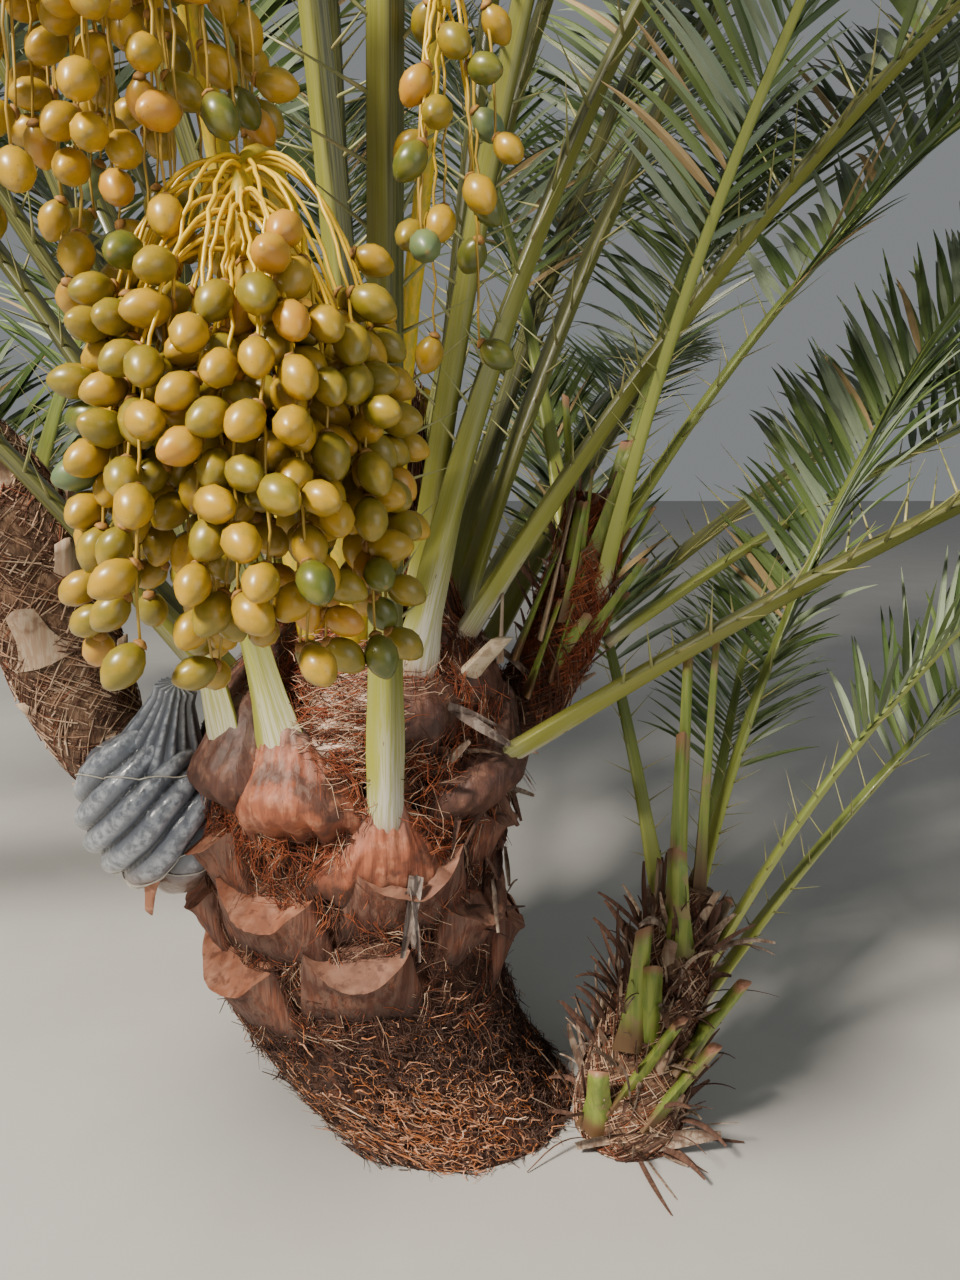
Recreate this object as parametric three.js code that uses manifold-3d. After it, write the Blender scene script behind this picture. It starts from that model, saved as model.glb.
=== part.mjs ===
// A young fruiting date palm: a short stout trunk clad in cut leaf bases, a crown of long
// arching fronds, hanging bunches of dates, and three offshoots that grow on the same root.
// Lengths are millimetres, angles are degrees, +Z is up. The origin is the centre of the flat
// cut under the trunk. An azimuth is measured in plan from +X towards +Y, and -Y is the front.
import * as THREE from 'three';
import { mergeVertices } from 'three/addons/utils/BufferGeometryUtils.js';
import Module from 'manifold-3d';

const wasm = await Module();
wasm.setup();

const DEG = Math.PI / 180;
const GOLDEN_ANGLE = 137.508; // turn from one leaf base to the next up a palm's stem
const SEAT_GAP = 0.3; // clearance between a limb's foot and what carries it

// Small helpers

function lerp(a, b, t) {
  return a + (b - a) * t;
}

function clamp(v, low, high) {
  return Math.min(high, Math.max(low, v));
}

function vec(x, y, z) {
  return new THREE.Vector3(x, y, z);
}

// A repeatable number from 0 to 1 for a whole number n and a seed.
function chance(n, seed) {
  const s = Math.sin(n * 12.9898 + seed * 78.233) * 43758.5453;
  return s - Math.floor(s);
}

function direction(azimuth, elevation) {
  const level = Math.cos(elevation * DEG);
  const up = Math.sin(elevation * DEG);
  return vec(Math.cos(azimuth * DEG) * level, Math.sin(azimuth * DEG) * level, up);
}

// Geometry from triangles, given as a flat list of points.
function triangleGeometry(points) {
  const array = new Float32Array(points.length * 3);
  points.forEach((p, i) => array.set([p.x, p.y, p.z], i * 3));
  return new THREE.BufferGeometry().setAttribute('position', new THREE.BufferAttribute(array, 3));
}

// Closed skin over rings of equal count. apexes maps "interval:side" to a point that the side's
// quad is drawn out to, which is how a leaflet grows out of a rib.
function skin(rings, apexes = new Map(), tip = null) {
  const count = rings[0].length;
  const out = [];
  for (let k = 0; k + 1 < rings.length; k += 1) {
    for (let i = 0; i < count; i += 1) {
      const j = (i + 1) % count;
      const [a, b, c, d] = [rings[k][i], rings[k][j], rings[k + 1][j], rings[k + 1][i]];
      const apex = apexes.get(`${k}:${i}`);
      if (apex) out.push(a, b, apex, b, c, apex, c, d, apex, d, a, apex);
      else out.push(a, b, c, a, c, d);
    }
  }
  const [first, last] = [rings[0], rings[rings.length - 1]];
  for (let i = 1; i + 1 < count; i += 1) out.push(first[0], first[i + 1], first[i]);
  if (tip) {
    for (let i = 0; i < count; i += 1) out.push(last[i], last[(i + 1) % count], tip);
  } else {
    for (let i = 1; i + 1 < count; i += 1) out.push(last[0], last[i], last[i + 1]);
  }
  return triangleGeometry(out);
}

function solidOf(geometry) {
  const bare = geometry.clone();
  bare.deleteAttribute('normal');
  bare.deleteAttribute('uv');
  const merged = mergeVertices(bare, 1e-3);
  return new wasm.Manifold(new wasm.Mesh({
    numProp: 3,
    vertProperties: new Float32Array(merged.attributes.position.array),
    triVerts: new Uint32Array(merged.index.array),
  }));
}

function geometryOf(solid) {
  const mesh = solid.getMesh();
  return new THREE.BufferGeometry()
    .setAttribute('position', new THREE.BufferAttribute(mesh.vertProperties.slice(), 3))
    .setIndex(new THREE.BufferAttribute(mesh.triVerts.slice(), 1));
}

// The largest body of a solid, so that a loose scrap left by a cut is dropped.
function largest(solid) {
  return solid.decompose().reduce((best, s) => (s.volume() > best.volume() ? s : best));
}

function union(solids) {
  return solids.reduce((all, s) => all.add(s));
}

// A round limb along stations of { at, r }, with its rings square to the line between them.
function limb(stations, sides, grow = 0) {
  const rings = stations.map((s, k) => {
    const before = stations[Math.max(0, k - 1)].at;
    const after = stations[Math.min(stations.length - 1, k + 1)].at;
    const along = after.clone().sub(before).normalize();
    const side = (Math.abs(along.x) < 0.9 ? vec(1, 0, 0) : vec(0, 1, 0)).cross(along).normalize();
    const other = along.clone().cross(side);
    const end = (k === 0 ? -grow : 0) + (k === stations.length - 1 ? grow : 0);
    return Array.from({ length: sides }, (_, i) => {
      const a = (i / sides) * 2 * Math.PI;
      return s.at.clone()
        .addScaledVector(along, end)
        .addScaledVector(side, Math.cos(a) * (s.r + grow))
        .addScaledVector(other, Math.sin(a) * (s.r + grow));
    });
  });
  return skin(rings);
}

// Materials

const bark = new THREE.MeshStandardMaterial({ color: 0x6b4330, roughness: 0.95, metalness: 0 });
const leaf = new THREE.MeshStandardMaterial({ color: 0x6d7d42, roughness: 0.6, metalness: 0 });
const fruit = new THREE.MeshStandardMaterial({ color: 0xb8922e, roughness: 0.4, metalness: 0 });
const sacking = new THREE.MeshStandardMaterial({ color: 0x8b929c, roughness: 0.5, metalness: 0 });

// Trunk: the stem under its leaf bases leans to the left and swells above a narrow foot.

const TRUNK_SIDES = 16;
const FLARE = { reach: 32, height: 60 }; // the skirt of roots round the foot
const trunkStations = [
  { z: 0, x: 0, r: 196 },
  { z: 55, x: -48, r: 206 },
  { z: 130, x: -106, r: 222 },
  { z: 230, x: -150, r: 236 },
  { z: 350, x: -163, r: 238 },
  { z: 500, x: -172, r: 240 },
  { z: 640, x: -164, r: 236 },
  { z: 760, x: -144, r: 204 },
  { z: 850, x: -132, r: 150 },
  { z: 920, x: -125, r: 68 },
];

// The stem's centre and radius at a height, by straight lines between the stations.
function trunkAt(z) {
  const above = trunkStations.findIndex((s) => s.z >= z);
  if (above <= 0) return trunkStations[above === 0 ? 0 : trunkStations.length - 1];
  const [low, high] = [trunkStations[above - 1], trunkStations[above]];
  const t = (z - low.z) / (high.z - low.z);
  return { z, x: lerp(low.x, high.x, t), r: lerp(low.r, high.r, t) };
}

// A point at an azimuth and height, some way out from the stem's surface.
function onTrunk(azimuth, z, out = 0) {
  const s = trunkAt(z);
  return vec(s.x + (s.r + out) * Math.cos(azimuth * DEG), (s.r + out) * Math.sin(azimuth * DEG), z);
}

function stemGeometry(grow) {
  return skin(trunkStations.map((s, k) => {
    const flare = FLARE.reach * Math.exp(-s.z / FLARE.height);
    const lift = k === trunkStations.length - 1 ? grow : 0;
    return Array.from({ length: TRUNK_SIDES }, (_, i) => {
      const a = (i / TRUNK_SIDES) * 2 * Math.PI;
      const ripple = 1 + 0.035 * Math.sin(3 * a + k) + 0.025 * Math.sin(5 * a - 2 * k);
      const r = (s.r + flare) * ripple + grow;
      return vec(s.x + r * Math.cos(a), r * Math.sin(a), s.z + lift);
    });
  }));
}

// A cut leaf base: a broad thin shelf that clasps the stem, leans out and ends in a cut face.
const BOOT = {
  count: 17, // bases left on the trunk
  lowest: 245,
  pitch: 16.5, // rise from one base to the next
  firstAzimuth: 87, // turns the spiral so that the cut faces lie where they show in front
  halfAngle: 25, // half of its clasp round the stem at its foot
  narrow: 0.72, // share of that clasp left at the cut
  edge: 0.45, // share of its reach at its two thin edges
  height: 84,
  below: 30, // how far it runs down the stem under its foot
  footOut: 6,
  standOut: 50,
  bury: 45,
};

function bootGeometry(azimuth, z, scale, grow) {
  const ring = (height, half, out) => {
    const points = [];
    for (const [u, o] of [[-1, BOOT.edge], [0, 1], [1, BOOT.edge]]) {
      points.push(onTrunk(azimuth + half * u, z, out * o + grow).setZ(z + height));
    }
    points.push(onTrunk(azimuth + half * 0.8, z, -BOOT.bury).setZ(z + height));
    points.push(onTrunk(azimuth - half * 0.8, z, -BOOT.bury).setZ(z + height));
    return points;
  };
  const top = BOOT.height * scale;
  const wider = grow * 0.3; // degrees that grow adds to the clasp
  return skin([
    ring(-BOOT.below - grow, BOOT.halfAngle * scale + wider, BOOT.footOut),
    ring(top + grow, BOOT.halfAngle * BOOT.narrow * scale + wider, BOOT.standOut * scale),
  ]);
}

function bootPlaces() {
  return Array.from({ length: BOOT.count }, (_, i) => ({
    azimuth: BOOT.firstAzimuth + GOLDEN_ANGLE * i,
    z: BOOT.lowest + BOOT.pitch * i,
    scale: 0.85 + 0.3 * chance(i, 1),
  }));
}

function trunkSolid(grow) {
  const parts = [solidOf(stemGeometry(grow))];
  for (const b of bootPlaces()) parts.push(solidOf(bootGeometry(b.azimuth, b.z, b.scale, grow)));
  return union(parts);
}

// Fronds: a channelled stalk that widens into a sheath at its foot, carried on as the rib of a
// blade that is cut to the rib between its leaflets.

const FROND = {
  steps: 24, // steps in which the line of a frond is worked out
  droopPower: 1.25, // how late along its length a frond bends over
  heel: 62, // how far the foot reaches back into what carries it
  sheathWidth: 96,
  sheathFade: 110, // length over which the sheath narrows into the stalk
  sheathThicker: 8, // thickness that the sheath adds to the stalk
  stalkWidth: 52,
  stalkThick: 38,
  taperPower: 0.9,
  tipWidth: 9,
  tipThick: 6,
  stalkStops: [0, 0.035, 0.08, 0.17], // shares of the length where the stalk's rings stand
  leafletsFrom: 0.34, // share of the length that is bare stalk
  pairs: 12, // leaflet pairs of a crown frond
  crowding: 0.92, // below 1 the pairs stand closer towards the tip
  leaflet: 430, // longest leaflet
  tipLeaflet: 150,
  vee: 26, // lift of the leaflets out of the frond's plane
  forwardFoot: 60, // a leaflet's angle from the rib by the stalk, and at the tip
  forwardTip: 27,
};

// The line of a frond: it leaves at its elevation and azimuth, droops by a power law and sweeps
// sideways evenly. Returns points, tangents and side vectors at even steps.
function frondLine(f) {
  const n = FROND.steps;
  const at = [f.foot.clone()];
  const tangents = [];
  const sides = [];
  for (let k = 0; k <= n; k += 1) {
    const t = k / n;
    const azimuth = f.azimuth + f.sweep * t;
    const elevation = f.elevation - f.droop * t ** FROND.droopPower;
    tangents.push(direction(azimuth, elevation));
    sides.push(direction(azimuth + 90, 0));
    if (k < n) {
      const middle = (k + 0.5) / n;
      const drop = f.droop * middle ** FROND.droopPower;
      const step = direction(f.azimuth + f.sweep * middle, f.elevation - drop);
      at.push(at[k].clone().addScaledVector(step, f.length / n));
    }
  }
  return { at, tangents, sides };
}

function lineAt(line, t) {
  const p = clamp(t, 0, 1) * FROND.steps;
  const k = Math.min(Math.floor(p), FROND.steps - 1);
  const mix = (list) => list[k].clone().lerp(list[k + 1], p - k);
  const along = mix(line.tangents).normalize();
  const side = mix(line.sides).normalize();
  return { at: mix(line.at), along, side, up: along.clone().cross(side) };
}

function ribSize(f, t) {
  const fade = Math.exp((-t * f.length) / FROND.sheathFade);
  const taper = (1 - t) ** FROND.taperPower;
  const width = lerp(FROND.tipWidth, FROND.stalkWidth, taper);
  const thick = lerp(FROND.tipThick, FROND.stalkThick, taper);
  return {
    width: f.girth * (width + (f.sheath - FROND.stalkWidth) * fade),
    thick: f.girth * (thick + FROND.sheathThicker * fade),
  };
}

// Where the stalk's and the blade's rings stand along the frond.
function frondStops(f) {
  const blade = Array.from({ length: f.pairs + 1 }, (_, i) => {
    const share = (i / f.pairs) ** FROND.crowding;
    return lerp(FROND.leafletsFrom, 1, share);
  });
  return { bare: FROND.stalkStops.length, stops: [...FROND.stalkStops, ...blade] };
}

// A leaflet's length and angles, for its share u of the way from the first to the last.
function leafletRule(f, i, u) {
  const swell = Math.sin(Math.PI * clamp(0.22 + 0.62 * u, 0, 1));
  return {
    length: f.leaflet * lerp(0.35, 1, swell) * (0.94 + 0.12 * chance(i, f.seed)),
    forward: lerp(FROND.forwardFoot, FROND.forwardTip, u ** 0.8),
    lift: FROND.vee + 14 * (chance(i, f.seed + 0.5) - 0.5),
  };
}

// The level direction from a frond's foot to the axis of what carries it.
function inward(f) {
  return vec(f.axis.x - f.foot.x, f.axis.y - f.foot.y, 0).normalize();
}

// A frond's rings, its tip and its leaflets. grow makes the ribs proud, for a room to cut.
function frondParts(f, grow = 0) {
  const line = frondLine(f);
  const { bare, stops } = frondStops(f);
  const rings = stops.map((t) => {
    const p = lineAt(line, t);
    const { width, thick } = ribSize(f, t);
    return [[-1, -1], [1, -1], [1, 1], [-1, 1]].map(([s, n]) => p.at.clone()
      .addScaledVector(p.side, s * (width / 2 + grow))
      .addScaledVector(p.up, n * (thick / 2 + grow)));
  });
  const heel = inward(f)
    .multiplyScalar(FROND.heel * f.girth)
    .addScaledVector(line.tangents[0], -FROND.heel);
  rings.unshift(rings[0].map((q) => q.clone().add(heel)));
  const end = lineAt(line, 1);
  const tip = end.at.clone().addScaledVector(end.along, FROND.tipLeaflet * f.girth);
  const leaflets = [];
  for (let k = bare; k + 1 < stops.length; k += 1) {
    const u = (k - bare) / (stops.length - 2 - bare);
    const p = lineAt(line, (stops[k] + stops[k + 1]) / 2);
    for (const [face, sign] of [[1, 1], [3, -1]]) {
      const rule = leafletRule(f, 2 * k + (sign > 0 ? 0 : 1), u);
      const out = p.side.clone().multiplyScalar(sign * Math.cos(rule.lift * DEG))
        .addScaledVector(p.up, Math.sin(rule.lift * DEG));
      const way = p.along.clone().multiplyScalar(Math.cos(rule.forward * DEG))
        .addScaledVector(out, Math.sin(rule.forward * DEG));
      const j = (face + 1) % 4;
      const [low, high] = [rings[k + 1], rings[k + 2]]; // one on from the stops, for the heel
      const root = [low[face], low[j], high[j], high[face]];
      const middle = root.reduce((sum, q) => sum.add(q), vec(0, 0, 0)).multiplyScalar(0.25);
      leaflets.push({ key: `${k + 1}:${face}`, root, middle, way, length: rule.length });
    }
  }
  return { rings, tip, leaflets };
}

// A leaflet with its sides and tip a little proud, to test the room round it.
function leafletGuard(l, length, proud) {
  const root = l.root.map((q) => q.clone().add(q.clone().sub(l.middle).setLength(proud)));
  const [a, b, c, d] = root;
  const apex = l.middle.clone().addScaledVector(l.way, length + 2 * proud);
  return triangleGeometry([a, b, apex, b, c, apex, c, d, apex, d, a, apex, a, c, b, a, d, c]);
}

// Fronds that show in front, as they stand on this plant: their foot on the trunk, the azimuth
// and elevation they leave at, and how far they droop. The back of the crown follows by rule.
const shownFronds = [
  {
    name: 'frond_front', at: [-72, 590],
    azimuth: -81, elevation: 77, droop: 34, length: 3300,
  },
  {
    name: 'frond_front_left', at: [-104, 630],
    azimuth: 147, elevation: 74, droop: 64, length: 3100,
  },
  {
    name: 'frond_front_left_low', at: [-132, 640],
    azimuth: 182, elevation: 83, droop: 64, length: 3000,
  },
  {
    name: 'frond_heart_front', at: [-62, 810],
    azimuth: 14, elevation: 78, droop: 74, length: 3400,
  },
  {
    name: 'frond_heart_upright', at: [-15, 905],
    azimuth: 20, elevation: 86, droop: 26, length: 3300, sheath: 66,
  },
  {
    name: 'frond_heart_back', at: [66, 890],
    azimuth: 27, elevation: 80, droop: 46, length: 3400, sheath: 66,
  },
  {
    name: 'frond_heart_rear', at: [118, 890],
    azimuth: 100, elevation: 80, droop: 50, length: 3300, sheath: 66,
  },
  {
    name: 'frond_front_high_1', at: [-46, 888],
    azimuth: -42, elevation: 80, droop: 46, length: 3200, sheath: 66,
  },
  {
    name: 'frond_front_high_2', at: [-92, 900],
    azimuth: -104, elevation: 83, droop: 44, length: 3300, sheath: 66,
  },
  {
    name: 'frond_front_high_3', at: [-146, 886],
    azimuth: -148, elevation: 80, droop: 48, length: 3200, sheath: 66,
  },
  {
    name: 'frond_right_high', at: [27, 852],
    azimuth: 25, elevation: 71, droop: 50, length: 3300,
  },
  {
    name: 'frond_right', at: [-18, 846],
    azimuth: 3, elevation: 58, droop: 44, length: 3200,
  },
  {
    name: 'frond_right_low', at: [-28, 640],
    azimuth: -3, elevation: 33, droop: 24, length: 2600, girth: 1.05,
  },
  {
    name: 'frond_left_1', at: [158, 700],
    azimuth: 160, elevation: 43, droop: 34, length: 2900,
  },
  {
    name: 'frond_left_2', at: [-172, 735],
    azimuth: 194, elevation: 54, droop: 40, length: 3000,
  },
  {
    name: 'frond_left_3', at: [165, 790],
    azimuth: 168, elevation: 60, droop: 42, length: 3200,
  },
  {
    name: 'frond_left_4', at: [-160, 825],
    azimuth: 186, elevation: 66, droop: 44, length: 3200,
  },
  {
    name: 'frond_left_5', at: [164, 862],
    azimuth: 158, elevation: 74, droop: 50, length: 3300, sheath: 66,
  },
];

// The back of the crown: tiers of fronds, each a fan spread evenly between two azimuths.
const backTiers = [
  { count: 4, from: 30, to: 138, z: 640, elevation: 36, droop: 30, length: 2800 },
  { count: 4, from: 36, to: 130, z: 730, elevation: 54, droop: 42, length: 3100 },
  { count: 2, from: 52, to: 118, z: 810, elevation: 68, droop: 44, length: 3300 },
];

function crownFronds() {
  const rows = [...shownFronds];
  backTiers.forEach((tier, t) => {
    for (let i = 0; i < tier.count; i += 1) {
      const azimuth = lerp(tier.from, tier.to, i / (tier.count - 1));
      rows.push({
        name: `frond_back_${t + 1}${'abcdefgh'[i]}`,
        at: [azimuth, tier.z + 14 * chance(i, t)],
        azimuth: azimuth + 4 * (chance(i, t + 10) - 0.5),
        elevation: tier.elevation + 5 * (chance(i, t + 20) - 0.5),
        droop: tier.droop,
        length: tier.length * (0.95 + 0.1 * chance(i, t + 30)),
      });
    }
  });
  return rows.map((r, i) => ({
    girth: 1,
    sheath: FROND.sheathWidth,
    sweep: 8 * (chance(i, 5) - 0.5),
    leaflet: FROND.leaflet,
    pairs: FROND.pairs,
    seed: i + 1,
    ...r,
    foot: onTrunk(...r.at, 12),
    axis: onTrunk(0, r.at[1]).setX(trunkAt(r.at[1]).x),
  }));
}

// Offshoots: young palms on the same root, each with a short fibrous stem and a few fronds. The
// fronds that show have their own rows and the rest stand round the stem by the golden angle.

const OFFSHOOT_SIDES = 10;
const offshoots = {
  // high on the right flank of the trunk
  upper: {
    stations: [
      { at: vec(0, 10, 600), r: 40 },
      { at: vec(110, 25, 690), r: 46 },
      { at: vec(180, 38, 800), r: 48 },
      { at: vec(226, 46, 940), r: 46 },
      { at: vec(246, 50, 1070), r: 26 },
    ],
    length: 1750,
    leaflet: 300,
    girth: 0.62,
    shown: [
      { rise: -125, azimuth: 2, elevation: 36, out: 42 },
      { rise: 0, azimuth: 14, elevation: 58, out: 22 },
      { rise: -50, azimuth: -50, elevation: 74, out: 38 },
    ],
    rest: { count: 2, first: 62, spread: 46, from: 60, to: 66 },
  },
  // at the foot on the right, rising from the ground
  lower: {
    stations: [
      { at: vec(296, -110, 0), r: 82 },
      { at: vec(306, -110, 60), r: 88 },
      { at: vec(340, -108, 190), r: 74 },
      { at: vec(378, -104, 330), r: 56 },
      { at: vec(406, -100, 430), r: 28 },
    ],
    length: 1500,
    leaflet: 260,
    girth: 0.55,
    shown: [
      { rise: 0, azimuth: 30, elevation: 76, out: 16 },
      { rise: -60, azimuth: -16, elevation: 66, out: 34 },
      { rise: -110, azimuth: 4, elevation: 57, out: 40 },
    ],
    rest: { count: 2, first: 66, spread: 34, from: 46, to: 64 },
  },
  // high on the left flank, with the rooting sack tied round its foot
  left: {
    stations: [
      { at: vec(-390, -30, 575), r: 46 },
      { at: vec(-500, -48, 602), r: 58 },
      { at: vec(-578, -26, 650), r: 70 },
      { at: vec(-640, -8, 780), r: 90 },
      { at: vec(-690, 0, 920), r: 94 },
      { at: vec(-735, 4, 1060), r: 82 },
      { at: vec(-772, 8, 1180), r: 34 },
    ],
    length: 1700,
    leaflet: 300,
    girth: 0.66,
    shown: [
      { rise: 0, azimuth: 160, elevation: 78, out: 14 },
      { rise: -70, azimuth: 200, elevation: 36, out: 50 },
    ],
    rest: { count: 2, first: 98, spread: 152, from: 46, to: 40 },
  },
};

function offshootFronds(name, plan, seed) {
  const crown = plan.stations[plan.stations.length - 2].at;
  const { count, first, spread, from, to } = plan.rest;
  const rest = Array.from({ length: count }, (_, i) => ({
    rise: lerp(-110, -20, i / (count - 1)),
    azimuth: first + spread * i,
    elevation: lerp(from, to, i / (count - 1)),
    out: 34,
  }));
  return [...plan.shown, ...rest].map((q, i) => ({
    name: `${name}_frond_${i + 1}`,
    foot: crown.clone().add(vec(0, 0, q.rise)).addScaledVector(direction(q.azimuth, 0), q.out),
    axis: crown,
    azimuth: q.azimuth,
    elevation: q.elevation,
    droop: 34,
    sweep: 8 * (chance(i, seed) - 0.5),
    length: plan.length * (0.85 + 0.2 * chance(i, seed + 3)),
    leaflet: plan.leaflet,
    girth: plan.girth,
    sheath: 66,
    pairs: 11,
    seed: seed + i,
  }));
}

// Room for the ribs: a frond keeps its heading where its rib passes clear of all that stands
// already, or else turns aside by the first of these angles that gives it room.

const ROOM = {
  samples: 90, // along a rib
  limbSamples: 8, // between two points of a limb
  gap: 4,
  turns: [0, 5, -5, 10, -10, 15, -15, 21, -21, 28, -28, 36, -36],
};

// A frond's rib as spheres along its line.
function ribSpheres(f) {
  const line = frondLine(f);
  return Array.from({ length: ROOM.samples + 1 }, (_, i) => {
    const t = i / ROOM.samples;
    const { width, thick } = ribSize(f, t);
    return { p: lineAt(line, t).at, r: (width + thick) / 4 };
  });
}

// A round limb as spheres, from its points and its radius at each.
function limbSpheres(points, radii) {
  const out = [];
  for (let k = 0; k + 1 < points.length; k += 1) {
    for (let i = 0; i < ROOM.limbSamples; i += 1) {
      const t = i / ROOM.limbSamples;
      out.push({ p: points[k].clone().lerp(points[k + 1], t), r: lerp(radii[k], radii[k + 1], t) });
    }
  }
  return out;
}

function touches(a, b) {
  return a.some((q) => b.some((s) => q.p.distanceTo(s.p) < q.r + s.r + ROOM.gap));
}

// Places the fronds in turn. obstacles holds { of, spheres }, and a frond ignores its own carrier.
function settle(fronds, obstacles) {
  const standing = [...obstacles];
  const out = [];
  for (const f of fronds) {
    for (const turn of ROOM.turns) {
      const tried = { ...f, azimuth: f.azimuth + turn };
      const spheres = ribSpheres(tried);
      if (!standing.some((s) => s.of !== f.carriedBy && touches(spheres, s.spheres))) {
        standing.push({ of: f.name, spheres });
        out.push(tried);
        break;
      }
    }
  }
  return out;
}

// Cut stalks left on the lower offshoot, each a tapering stub with a slanting cut.
const STUB = { width: 40, thick: 24 };
const lowerStubs = [
  { from: vec(368, -160, 150), azimuth: -8, elevation: 56, length: 180 },
  { from: vec(322, -172, 60), azimuth: -20, elevation: 56, length: 180 },
  { from: vec(322, -160, 150), azimuth: -92, elevation: 80, length: 190 },
  { from: vec(374, -140, 300), azimuth: -120, elevation: 82, length: 220 },
  { from: vec(300, -170, 35), azimuth: -38, elevation: 10, length: 230 },
  { from: vec(246, -160, 40), azimuth: -100, elevation: 66, length: 150 },
];

function stubSolid(s) {
  const along = direction(s.azimuth, s.elevation);
  const side = direction(s.azimuth + 90, 0);
  const up = along.clone().cross(side);
  const ring = (t, share, slant) => [[-1, -1], [1, -1], [1, 1], [-1, 1]].map(([a, b]) => s.from.clone()
    .addScaledVector(along, t + b * slant)
    .addScaledVector(side, (a * STUB.width * share) / 2)
    .addScaledVector(up, (b * STUB.thick * share) / 2));
  return solidOf(skin([ring(-20, 1.5, 0), ring(s.length * 0.4, 1, 0), ring(s.length, 0.85, -10)]));
}

// The rooting sack: a lobed bag wound round the left offshoot's foot.
const SACK = { centre: vec(-482, -74, 570), tilt: 24 };
const SACK_SIDES = 14;
// radius and height of the sack's outline from its bottom to the tie
const sackProfile = [
  [0, -158],
  [46, -150],
  [84, -118],
  [116, -70],
  [128, -10],
  [120, 46],
  [98, 92],
  [70, 124],
  [0, 132],
];

function sackSolid() {
  const outline = sackProfile.map(([r, z]) => new THREE.Vector2(r, z));
  const lathe = new THREE.LatheGeometry(outline, SACK_SIDES);
  lathe.rotateX(90 * DEG);
  lathe.rotateY(-SACK.tilt * DEG);
  lathe.translate(SACK.centre.x, SACK.centre.y, SACK.centre.z);
  return solidOf(lathe);
}

// Fruit bunches: a stalk that arches out of the crown, strands that fall from its end, and dates
// strung along the strands. The dates are fewer and a little larger than life.

const DATE = { length: 52, side: 12 }; // side: how far a date sits beside its strand
// a date's rings: share of its length from the middle, share of its side step, and radius
const DATE_RINGS = [
  [-0.5, 0.3, 4],
  [-0.24, 1, 20],
  [0.24, 1, 20],
  [0.5, 0.3, 4],
];
const STRAND_SIDES = 4;
const STALK_SIDES = 6;
const STALK_STOPS = 9;
const bunches = [
  {
    name: 'fruit_bunch_front_low',
    stalk: [
      vec(-140, -130, 800), vec(-142, -300, 1090), vec(-150, -480, 1320),
      vec(-156, -600, 1390), vec(-160, -690, 1360), vec(-162, -722, 1280),
    ],
    radius: [24, 9],
    rachis: 110,
    strands: 13,
    reach: 132,
    fall: [280, 395],
    dates: 3,
    fruitFrom: 0.66,
    seed: 11,
  },
  {
    name: 'fruit_bunch_front_high',
    stalk: [
      vec(-205, -110, 820), vec(-242, -270, 1210), vec(-266, -430, 1560),
      vec(-282, -550, 1750), vec(-292, -640, 1765), vec(-297, -688, 1670),
    ],
    radius: [24, 9],
    rachis: 180,
    strands: 11,
    reach: 138,
    fall: [262, 424],
    dates: 3,
    fruitFrom: 0.4,
    seed: 23,
  },
  {
    name: 'fruit_bunch_front_right',
    stalk: [
      vec(-92, -125, 830), vec(-60, -250, 1170), vec(-10, -400, 1500),
      vec(4, -490, 1640), vec(12, -560, 1620), vec(15, -582, 1540),
    ],
    radius: [18, 7],
    rachis: 100,
    strands: 5,
    reach: 60,
    fall: [150, 330],
    dates: 2,
    fruitFrom: 0.6,
    seed: 37,
  },
  {
    name: 'fruit_bunch_back',
    stalk: [
      vec(-146, 150, 800), vec(-142, 330, 1100), vec(-142, 520, 1340),
      vec(-146, 650, 1410), vec(-150, 715, 1350), vec(-152, 730, 1260),
    ],
    radius: [24, 9],
    rachis: 130,
    strands: 9,
    reach: 120,
    fall: [240, 400],
    dates: 3,
    fruitFrom: 0.4,
    seed: 41,
  },
];

// The point at share t down a strand: out from the stalk, a little up, then down under its load.
function strandPoint(strand, t) {
  const quarter = t * 90 * DEG;
  return strand.from.clone()
    .addScaledVector(strand.out, Math.sin(quarter))
    .add(vec(0, 0, strand.rise * Math.sin(2 * quarter) - strand.fall * t ** 1.5));
}

// A strand as rings from its root to its last date: thin between the dates and swollen at each.
function strandGeometry(strand, dates, fruitFrom) {
  const stations = [0, 0.2].map((t) => ({ at: strandPoint(strand, t), r: 5 }));
  for (let k = 0; k < dates; k += 1) {
    const middle = lerp(fruitFrom, 1, dates > 1 ? k / (dates - 1) : 1);
    const centre = strandPoint(strand, middle);
    const along = strandPoint(strand, middle + 0.02).sub(strandPoint(strand, middle - 0.02)).normalize();
    const turn = (strand.turn + 150 * k) * DEG;
    const beside = vec(Math.cos(turn), Math.sin(turn), 0).multiplyScalar(DATE.side);
    for (const [share, shift, r] of DATE_RINGS) {
      const at = centre.clone().addScaledVector(along, share * DATE.length);
      stations.push({ at: at.addScaledVector(beside, shift), r });
    }
  }
  return limb(stations, STRAND_SIDES);
}

function bunchSolid(b) {
  const curve = new THREE.CatmullRomCurve3(b.stalk);
  const stations = Array.from({ length: STALK_STOPS }, (_, i) => {
    const t = i / (STALK_STOPS - 1);
    return { at: curve.getPointAt(t), r: lerp(b.radius[0], b.radius[1], t) };
  });
  const parts = [solidOf(limb(stations, STALK_SIDES))];
  const share = b.rachis / curve.getLength();
  for (let j = 0; j < b.strands; j += 1) {
    const u = (j + 0.5) / b.strands;
    const azimuth = GOLDEN_ANGLE * j;
    const reach = b.reach * Math.sqrt(lerp(0.12, 1, chance(j, b.seed)));
    const strand = {
      from: curve.getPointAt(1 - share * (1 - u)),
      out: direction(azimuth, 0).multiplyScalar(reach),
      rise: reach * 0.35,
      fall: lerp(b.fall[0], b.fall[1], chance(j, b.seed + 1)),
      turn: azimuth + 90,
    };
    parts.push(solidOf(strandGeometry(strand, b.dates, b.fruitFrom)));
  }
  return largest(union(parts));
}

// Assembly: what carries a piece is cut out of it with the seat gap, and a leaflet that would
// touch anything is shortened or left out.

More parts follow.
